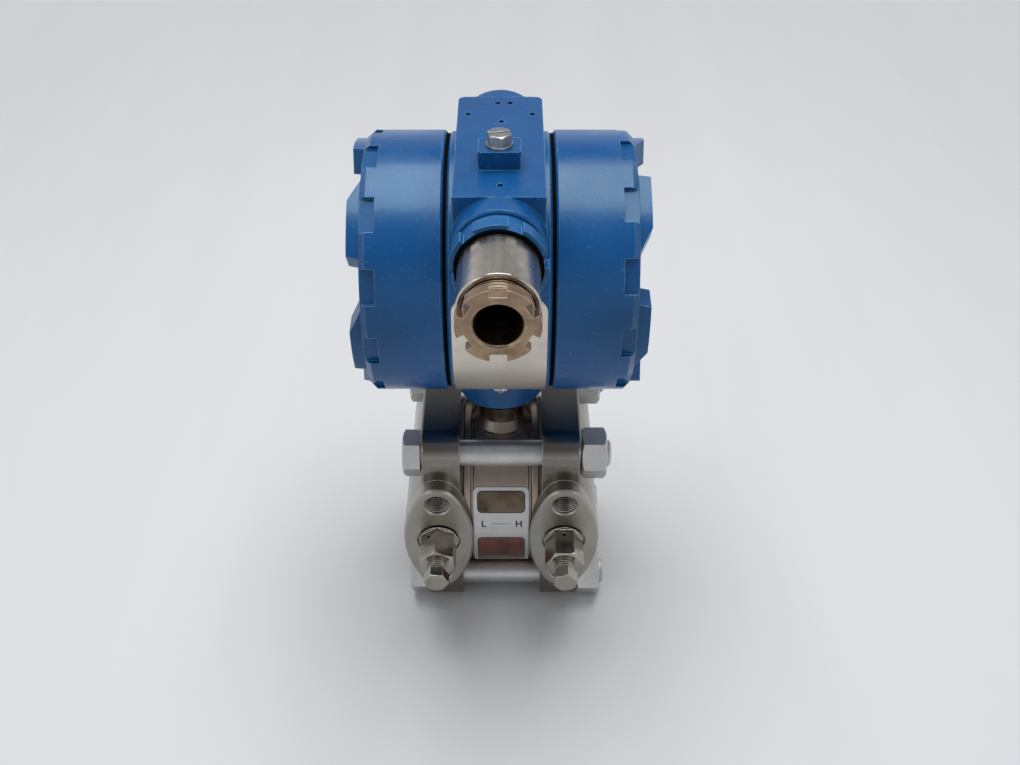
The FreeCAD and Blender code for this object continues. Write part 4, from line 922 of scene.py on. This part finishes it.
class ThreadTree(Tree):
    """Helical ridge of a screw thread, up local +Z."""

    sides = 4
    fewest_steps = 28  # in one turn
    most_steps = 120
    steps_by_radius = 8  # for each millimetre of it

    def __init__(self) -> None:
        """Build the group: a spiral with a diamond swept along it."""
        super().__init__(
            "screw_thread", Radius=0.005, Turns=8.0, Length=0.01, Ridge=0.0004, Steps=40
        )
        given = self.given
        spiral = self.feed(
            self.add("GeometryNodeCurveSpiral"),
            Resolution=given["Steps"],
            Rotations=given["Turns"],
            Start_Radius=given["Radius"],
            End_Radius=given["Radius"],
            Height=given["Length"],
        )
        upright = self.add("GeometryNodeSetCurveNormal", mode="Z_UP")
        self.feed(upright, Curve=spiral.outputs["Curve"])
        ridge = self.add("GeometryNodeCurvePrimitiveCircle")
        self.feed(ridge, Resolution=self.sides, Radius=given["Ridge"])
        swept = self.feed(
            self.add("GeometryNodeCurveToMesh"),
            Curve=upright.outputs["Curve"],
            Profile_Curve=ridge.outputs["Curve"],
            Fill_Caps=True,
        )
        self.close(swept.outputs["Mesh"])

    def cut(
        self, finish: Finish, radius: float, pitch: float, ridge: float, start: Vector, end: Vector
    ) -> Mesh:
        """Make the ridge of one thread.

        Args:
            finish: Its finish.
            radius: Radius of the plain wall it stands on, in metres.
            pitch: Distance between turns.
            ridge: Height of the ridge.
            start: Point on the axis where it starts.
            end: Point on the axis where it ends.

        Returns:
            The mesh in its place.
        """
        run = end - start
        steps = int(radius / MM * self.steps_by_radius)
        mesh = self.mesh(
            finish,
            Radius=radius,
            Turns=run.length / pitch,
            Length=run.length,
            Ridge=ridge,
            Steps=max(self.fewest_steps, min(self.most_steps, steps)),
        )
        mesh.transform(toward(run.normalized(), start))
        return mesh


class BoardTree(Tree):
    """Small parts scattered on a circuit board's rows, in the local XY plane."""

    def __init__(self) -> None:
        """Build the group: a grid of points, thinned by chance, with a box on each."""
        super().__init__(
            "board_parts",
            Width=0.03,
            Height=0.02,
            Columns=8,
            Rows=5,
            Part_Size=(0.002, 0.001, 0.0008),
            Kept=0.6,
            Seed=3,
        )
        given = self.given
        grid = self.feed(
            self.add("GeometryNodeMeshGrid"),
            Size_X=given["Width"],
            Size_Y=given["Height"],
            Vertices_X=given["Columns"],
            Vertices_Y=given["Rows"],
        )
        chance = self.add("FunctionNodeRandomValue", data_type="BOOLEAN")
        self.feed(chance, Probability=given["Kept"], Seed=given["Seed"])
        part = self.feed(self.add("GeometryNodeMeshCube"), Size=given["Part Size"])
        placed = self.feed(
            self.add("GeometryNodeInstanceOnPoints"),
            Points=grid.outputs["Mesh"],
            Selection=chance.outputs["Value"],
            Instance=part.outputs["Mesh"],
        )
        self.close(placed.outputs["Instances"])


# ---- Sub-assemblies ----


@dataclass
class SubAssembly:
    """A group of nodes dressed together.

    Args:
        thread: Thread maker.
    """

    frame: dict
    thread: ThreadTree

    def dress(self, finish: Finish, *names: str) -> None:
        """Give CAD nodes their finish.

        Args:
            finish: The finish.
            names: Names of the nodes.
        """
        for name in names:
            node = self.frame["nodes"][name]
            node.data.materials.clear()
            node.data.materials.append(finish.material())

    def middle(self, name: str) -> Vector:
        """Middle of a node's box."""
        low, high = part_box(name)
        return (low + high) / 2

    def tapped(self, finish: Finish, name: str, pitch: float, ridge: float) -> Mesh:
        """Thread inside a mount's hole.

        Args:
            finish: Its finish.
            name: Mount of the record.
            pitch: Distance between turns, in metres.
            ridge: Height of the ridge.

        Returns:
            The thread's mesh.
        """
        mounts = self.frame["record"]["mounts"]
        mount = next(mount for mount in mounts if mount["name"] == name)
        middle, axis = Vector(mount["pos_m"]), Vector(mount["axis"])
        reach = axis * (mount["dims"]["length_mm"] * MM / 2 - ridge)
        radius = mount["dims"]["r_mm"] * MM
        return self.thread.cut(finish, radius, pitch, ridge, middle - reach, middle + reach)


@dataclass
class Sensor(SubAssembly):
    """Welded sensor drum, its label and what is sealed inside."""

    drum_radius: float = 37.5 * MM
    label_thickness: float = 0.3 * MM
    window_half_width: float = 9.9 * MM
    window_corner: float = 1.8 * MM
    window_proud: float = 0.06 * MM
    windows: tuple[tuple[float, float], ...] = ((33.0, 19.0), (-2.0, -35.0))
    rim: float = 0.45 * MM
    rim_corner: float = 2.2 * MM
    rim_proud: float = 0.03 * MM
    letter_height: float = 4.3 * MM
    letter_middle: float = 0.35
    letter_weight: float = 0.12 * MM
    letter_rise: float = 10.2  # degrees above the level front
    letter_spread: float = 7.6 * MM
    ink: float = 0.02 * MM
    line: tuple[float, ...] = (4.2 * MM, 0.1 * MM, 0.05 * MM, 0.03 * MM)  # as tablet takes them

    def build(self) -> None:
        """Dress the sensor and print its label."""
        self.dress(DRUM_STEEL, "sensor_module")
        self.dress(HEADER, "sensor_header")
        self.dress(VALVE_STEEL, "diaphragm_low", "diaphragm_high")
        self.dress(FOIL, "module_label")
        centre = self.middle("sensor_module")
        centre.z = 0.0
        self.window("upper", self.windows[0], FOIL_BROWN, centre)
        self.window("lower", self.windows[1], FOIL_RED, centre)
        self.marks(centre)

    def window(
        self, name: str, angles: tuple[float, float], finish: Finish, centre: Vector
    ) -> None:
        """Fill one window of the label and line its edge.

        Args:
            name: Which window.
            angles: Its upper and lower edge, in degrees above the level front.
            finish: What shows in it.
            centre: Point on the drum's axis.
        """
        radius, width, label = self.drum_radius, self.window_half_width, self.label_thickness
        rise = math.radians(sum(angles) / 2) * radius
        half = math.radians(angles[0] - angles[1]) / 2 * radius
        outer, outer_half = width + self.rim, half + self.rim
        rim = tablet(outer, outer_half, self.rim_corner, label + self.rim_proud, rise)
        joined(f"label_{name}_rim", [wrapped(rim, radius, centre)], INK, "sensor")
        fill = tablet(width, half, self.window_corner, label + self.window_proud, rise)
        joined(f"label_{name}_window", [wrapped(fill, radius, centre)], finish, "sensor")

    def marks(self, centre: Vector) -> None:
        """Print L and H with the line between them.

        Args:
            centre: Point on the drum's axis.
        """
        radius = self.drum_radius + self.label_thickness
        rise = math.radians(self.letter_rise) * radius
        meshes = []
        for letter, across in (("L", -self.letter_spread), ("H", self.letter_spread)):
            curve = bpy.data.curves.new("mark", "FONT")
            curve.body = letter
            curve.size = self.letter_height
            curve.align_x = "CENTER"
            curve.extrude = self.ink
            curve.offset = self.letter_weight
            holder = bpy.data.objects.new("mark", curve)
            mesh = bpy.data.meshes.new_from_object(holder)
            bpy.data.objects.remove(holder)
            foot = rise - self.letter_height * self.letter_middle
            mesh.transform(Matrix.Translation((across, foot, self.ink)))
            meshes.append(wrapped(mesh, radius, centre))
        meshes.append(wrapped(tablet(*self.line, rise), radius, centre))
        joined("label_marks", meshes, INK, "sensor")


@dataclass
class ProcessFlanges(SubAssembly):
    """The two process flanges with their seals, bolts and nuts."""

    bolt_pitch: float = 1.27 * MM
    bolt_ridge: float = 0.4 * MM
    pipe_pitch: float = 1.41 * MM
    pipe_ridge: float = 0.5 * MM
    stud_radius: float = 5.5 * MM
    stud_pitch: float = 1.5 * MM
    stud_ridge: float = 0.3 * MM
    stud_bare: float = 0.5 * MM
    stud_spacing: tuple[float, float] = (24.6 * MM, 36.6 * MM)  # from the middle

    def build(self) -> None:
        """Dress the flanges and thread their holes and bolts."""
        self.dress(FLANGE_STEEL, "flange_low", "flange_high")
        self.dress(WHITE_SEAL, "flange_seal_low", "flange_seal_high")
        self.dress(BOLT_ZINC, "flange_bolts", "flange_nuts")
        bolt = (self.bolt_pitch, self.bolt_ridge)
        pipe = (self.pipe_pitch, self.pipe_ridge)
        names = [mount["name"] for mount in self.frame["record"]["mounts"]]
        holes = [self.tapped(THREAD_STEEL, name, *bolt) for name in names if "bolt_hole" in name]
        for name in ("low_process_port", "high_process_port"):
            holes.append(self.tapped(THREAD_STEEL, name, *pipe))
        joined("flange_threads", holes, THREAD_STEEL, "sensor")
        joined("bolt_end_threads", self.bolt_ends(), BOLT_ZINC, "sensor")

    def bolt_ends(self) -> list[Mesh]:
        """Threads on the four bolt ends past their nuts.

        Returns:
            One mesh for each end.
        """
        middle = self.middle("flange_bolts")
        nut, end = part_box("flange_nuts")[1].x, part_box("flange_bolts")[1].x
        along, up = self.stud_spacing
        radius, pitch, ridge = self.stud_radius, self.stud_pitch, self.stud_ridge
        threads = []
        for y in (middle.y - along, middle.y + along):
            for z in (-up, up):
                start = Vector((nut - pitch, y, z))
                stop = Vector((end - ridge - self.stud_bare, y, z))
                threads.append(self.thread.cut(BOLT_ZINC, radius, pitch, ridge, start, stop))
        return threads


@dataclass
class DrainValves(SubAssembly):
    """Drain and vent valves in the two front ports."""

    stem_radius: float = 3.55 * MM
    pitch: float = 1.25 * MM
    ridge: float = 0.28 * MM
    neck: float = 4.6 * MM
    neck_inside: float = 6.0 * MM

    def build(self) -> None:
        """Dress the valves and thread the stems."""
        for side in Side:
            word = side.name.lower()
            self.dress(VALVE_STEEL, *(f"drain_{part}_{word}" for part in ("body", "ball", "stem")))
            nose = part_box(f"drain_body_{word}")[0].y
            middle = self.middle(f"drain_stem_{word}")
            start = Vector((middle.x, nose + self.neck_inside, middle.z))
            end = Vector((middle.x, nose - self.neck + self.ridge, middle.z))
            mesh = self.thread.cut(
                THREAD_STEEL, self.stem_radius, self.pitch, self.ridge, start, end
            )
            joined(f"drain_stem_thread_{word}", [mesh], THREAD_STEEL, f"{word}_stem")


@dataclass
class Housing(SubAssembly):
    """Cast housing with its outside ground terminal."""

    spigot_radius: float = 45.0 * MM
    spigot_start: float = 21.0 * MM
    spigot_end: float = 31.5 * MM
    cover_pitch: float = 1.5875 * MM
    cover_ridge: float = 0.24 * MM
    conduit_pitch: float = 1.81 * MM
    conduit_ridge: float = 0.7 * MM

    def build(self) -> None:
        """Dress the casting and thread its spigots and rear conduit entry."""
        self.dress(PAINT, "electronics_housing")
        self.dress(RUBBER, "neck_seal")
        self.dress(SMALL_ZINC, "ground_screw", "ground_washer")
        axis = self.middle("circuit_cover_seal")
        radius, pitch, ridge = self.spigot_radius, self.cover_pitch, self.cover_ridge
        threads = []
        for side in Side:
            start = Vector((side.value * self.spigot_start, axis.y, axis.z))
            end = Vector((side.value * self.spigot_end, axis.y, axis.z))
            threads.append(self.thread.cut(PAINT, radius, pitch, ridge, start, end))
        joined("spigot_threads", threads, PAINT, "housing")
        entry = self.tapped(PAINT, "rear_conduit_entry", self.conduit_pitch, self.conduit_ridge)
        joined("conduit_thread", [entry], PAINT, "housing")


@dataclass
class Covers(SubAssembly):
    """Screw-on covers and their seals."""

    def build(self) -> None:
        """Dress the covers and seals."""
        self.dress(PAINT, "circuit_cover", "terminal_cover")
        self.dress(RUBBER, "circuit_cover_seal", "terminal_cover_seal")


@dataclass
class CableGland(SubAssembly):
    """Cable gland: lock ring, body, seal, washer and clamping ring."""

    thread_radius: float = 11.85 * MM
    pitch: float = 1.5 * MM
    ridge: float = 0.28 * MM
    thread_shown: float = 4.3 * MM
    body_radius: float = 14.3 * MM
    # Size and place of the black ring that paints the shade under the lock ring.
    shade_ring_width: float = 1.4 * MM
    shade_ring_height: float = 0.6 * MM
    shade_ring_gap: float = 0.02 * MM
    shade_ring_off: float = 0.01 * MM

    def build(self) -> None:
        """Dress the gland, put a black ring of painted shade on its lock ring and thread its
        clamping ring.
        """
        self.dress(LOCK_PAINT, "gland_lock_ring")
        self.dress(GLAND_NICKEL, "gland_body")
        self.dress(CLAMP_BRONZE, "gland_clamp_ring")
        self.dress(RUBBER, "gland_seal")
        self.dress(BRASS, "gland_washer")
        low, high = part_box("gland_clamp_ring")
        middle = (low + high) / 2
        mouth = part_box("gland_body")[0].y
        start = Vector((middle.x, high.y - self.ridge, middle.z))
        end = Vector((middle.x, mouth - self.thread_shown, middle.z))
        mesh = self.thread.cut(
            CLAMP_BRONZE, self.thread_radius, self.pitch, self.ridge, start, end
        )
        joined("gland_clamp_thread", [mesh], CLAMP_BRONZE, "clamp_ring")
        self.shade_ring(middle)

    def shade_ring(self, middle: Vector) -> None:
        """Black ring round the body, on the face of the lock ring, that paints the shade in the
        gap under the ring.

        Args:
            middle: Middle of the clamping ring, on the gland's axis.
        """
        inner, top = self.body_radius + self.shade_ring_gap, self.shade_ring_height
        outer, slope = inner + self.shade_ring_width, top / 2
        # Black ring that paints the shade in the gap between the lock ring and the body.
        ring = lathe(
            [(inner, 0.0), (outer, 0.0), (outer, top - slope), (outer - slope, top), (inner, top)]
        )
        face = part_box("gland_lock_ring")[0].y - self.shade_ring_off
        ring.transform(toward(Vector((0.0, -1.0, 0.0)), Vector((middle.x, face, middle.z))))
        joined("gland_lock_lip", [ring], RUBBER, "housing")


@dataclass
class Nameplate(SubAssembly):
    """Bare nameplate, its screws and the adjusters behind it."""

    def build(self) -> None:
        """Dress the plate, screws and adjusters."""
        self.dress(PLATE_STEEL, "nameplate")
        self.dress(SMALL_ZINC, "nameplate_screws")
        self.dress(VALVE_STEEL, "zero_screw", "span_screw")


@dataclass(frozen=True)
class Scatter:
    """Rows of one kind of small part on a board.

    Args:
        name: Name of the piece.
        finish: Its finish.
        area: Width and height that the rows cover, in metres.
        grid: Columns and rows.
        part: One part's size across, up and out of the board, in millimetres.
        kept: Share of the grid's points that carry a part.
        seed: Seed of the choice among them.
        rise: Height of the rows' middle above the housing's axis, in metres.
    """

    name: str
    finish: Finish
    area: tuple[float, float]
    grid: tuple[int, int]
    part: tuple[float, float, float]
    kept: float
    seed: int
    rise: float


@dataclass
class CircuitSide(SubAssembly):
    """Circuit boards with their small parts."""

    sunk: float = 0.02 * MM
    scatters: tuple[Scatter, ...] = (
        Scatter(
            "board_resistors", BLOCK, (0.046, 0.006), (12, 3), (2.0, 1.1, 0.7), 0.7, 5, 0.005
        ),
        Scatter(
            "board_solder", SMALL_ZINC, (0.05, 0.008), (20, 3), (0.8, 0.8, 0.7), 0.8, 9, -0.021
        ),
    )

    def build(self) -> None:
        """Dress the boards and put the small parts on the outer one."""
        self.dress(BOARD, "amplifier_board", "calibration_board")
        self.dress(BRASS, "board_spacers")
        self.dress(SMALL_ZINC, "board_screws")
        tree = BoardTree()
        centre = self.middle("circuit_cover_seal")
        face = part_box("board_screws")[1].x
        for some in self.scatters:
            size = tuple(side * MM for side in some.part)
            mesh = tree.mesh(
                some.finish,
                Width=some.area[0],
                Height=some.area[1],
                Columns=some.grid[0],
                Rows=some.grid[1],
                Part_Size=size,
                Kept=some.kept,
                Seed=some.seed,
            )
            place = Vector((face - size[2] / 2 + self.sunk, centre.y, centre.z + some.rise))
            mesh.transform(Matrix.Translation(place) @ BOARD_FACE)
            joined(some.name, [mesh], some.finish, "housing")


@dataclass
class TerminalSide(SubAssembly):
    """Terminal block with its screws and pins."""

    def build(self) -> None:
        """Dress the terminal side."""
        self.dress(BLOCK, "terminal_block")
        self.dress(SMALL_ZINC, "terminal_screws", "inside_ground_screw", "terminal_clamps")
        self.dress(BRASS, "feedthrough_pins")


# ---- Studio ----


@dataclass(frozen=True)
class Lamp:
    """Soft square lamp.

    Args:
        name: Its name.
        place: Where it hangs, in metres.
        power: Its power, in watts.
        size: Its side, in metres.
    """

    name: str
    place: Place
    power: float
    size: float


@dataclass
class Studio:
    """Floor, lamps, surroundings and camera."""

    lens: float = 42.35
    tilt: float = 51.0
    eye: Place = (0.0038, -0.4418, 0.38)
    aim: Place = (0.0, -0.04, 0.06)
    lamps: tuple[Lamp, ...] = (
        Lamp("overhead", (0.0, 0.12, 1.15), 14.0, 0.9),
        Lamp("front_left", (-0.8, -0.8, 0.7), 1.0, 0.5),
        Lamp("front_right", (0.8, -0.9, 0.5), 0.8, 0.5),
    )
    ambient: float = 0.26
    overhead: Colour = (0.22, 0.23, 0.25)
    overhead_from: float = 0.08
    overhead_full: float = 0.62
    floor_radius: float = 4.0
    floor_corners: int = 96

    def build(self) -> None:
        """Set the floor, surroundings, lamps and camera."""
        self.floor()
        self.surroundings()
        for lamp in self.lamps:
            self.hang(lamp)
        self.camera()

    def floor(self) -> None:
        """Plain pale floor under the flanges."""
        disc = bmesh.new()
        bmesh.ops.create_circle(
            disc, cap_ends=True, segments=self.floor_corners, radius=self.floor_radius
        )
        mesh = bpy.data.meshes.new("floor")
        disc.to_mesh(mesh)
        disc.free()
        mesh.transform(Matrix.Translation((0.0, 0.0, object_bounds()[0][2])))
        floor = shown("floor", mesh)
        floor.data.materials.append(FLOOR.material())
        floor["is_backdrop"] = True

    def surroundings(self) -> None:
        """Even light, and a backdrop for the camera and reflections that is darker overhead."""
        world = bpy.data.worlds.new("studio")
        bpy.context.scene.world = world
        world.use_nodes = True
        graph = Graph(world.node_tree)
        light = graph.first("BACKGROUND")
        graph.feed(light, Color=(1.0, 1.0, 1.0, 1.0), Strength=self.ambient)
        seen = graph.feed(graph.add("ShaderNodeBackground"), Color=self.sky(graph))
        rays = graph.add("ShaderNodeLightPath").outputs
        backdrop = rays["Is Camera Ray"]
        for ray in ("Is Glossy Ray", "Is Transmission Ray"):
            backdrop = graph.maths("MAXIMUM", backdrop, rays[ray])
        mix = graph.feed(graph.add("ShaderNodeMixShader"), Fac=backdrop)
        for socket, shader in zip(mix.inputs[1:], (light, seen)):
            plug(graph.tree, socket, shader.outputs["Background"])
        graph.feed(graph.first("OUTPUT_WORLD"), Surface=mix.outputs["Shader"])

    def sky(self, graph: Graph) -> Socket:
        """Colour that goes from the pale backdrop to the darker room overhead.

        Args:
            graph: Graph of the surroundings.

        Returns:
            The colour.
        """
        direction = graph.add("ShaderNodeTexCoord").outputs["Generated"]
        height = graph.feed(graph.add("ShaderNodeSeparateXYZ"), Vector=direction).outputs["Z"]
        ramp = graph.feed(graph.add("ShaderNodeValToRGB"), Fac=height)
        stops = ((self.overhead_from, BACKDROP), (self.overhead_full, self.overhead))
        for element, (position, colour) in zip(ramp.color_ramp.elements, stops):
            element.position = position
            element.color = (*colour, 1.0)
        return ramp.outputs["Color"]

    def hang(self, lamp: Lamp) -> None:
        """Hang a lamp and aim it at the object.

        Args:
            lamp: The lamp.
        """
        light = bpy.data.lights.new(lamp.name, "AREA")
        light.energy = lamp.power
        light.size = lamp.size
        holder = shown(lamp.name, light)
        holder.location = lamp.place
        beam = Vector(self.aim) - Vector(lamp.place)
        holder.rotation_euler = beam.to_track_quat("-Z", "Y").to_euler()

    def camera(self) -> None:
        """Camera in front of and above the object."""
        view = bpy.data.cameras.new("view")
        view.lens = self.lens
        holder = shown("view", view)
        holder.location = self.eye
        holder.rotation_euler = (math.radians(self.tilt), 0.0, 0.0)
        bpy.context.scene.camera = holder


def main() -> None:
    """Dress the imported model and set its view."""
    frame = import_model()
    bpy.context.scene.view_settings.view_transform = "Standard"
    thread = ThreadTree()
    for kind in (
        Sensor,
        ProcessFlanges,
        DrainValves,
        Housing,
        Covers,
        CableGland,
        Nameplate,
        CircuitSide,
        TerminalSide,
    ):
        LOG.info("building %s", kind.__name__)
        kind(frame, thread).build()
    Studio().build()


if __name__ == "__main__":
    logging.basicConfig(level=logging.INFO, format="%(name)s: %(message)s")
    main()
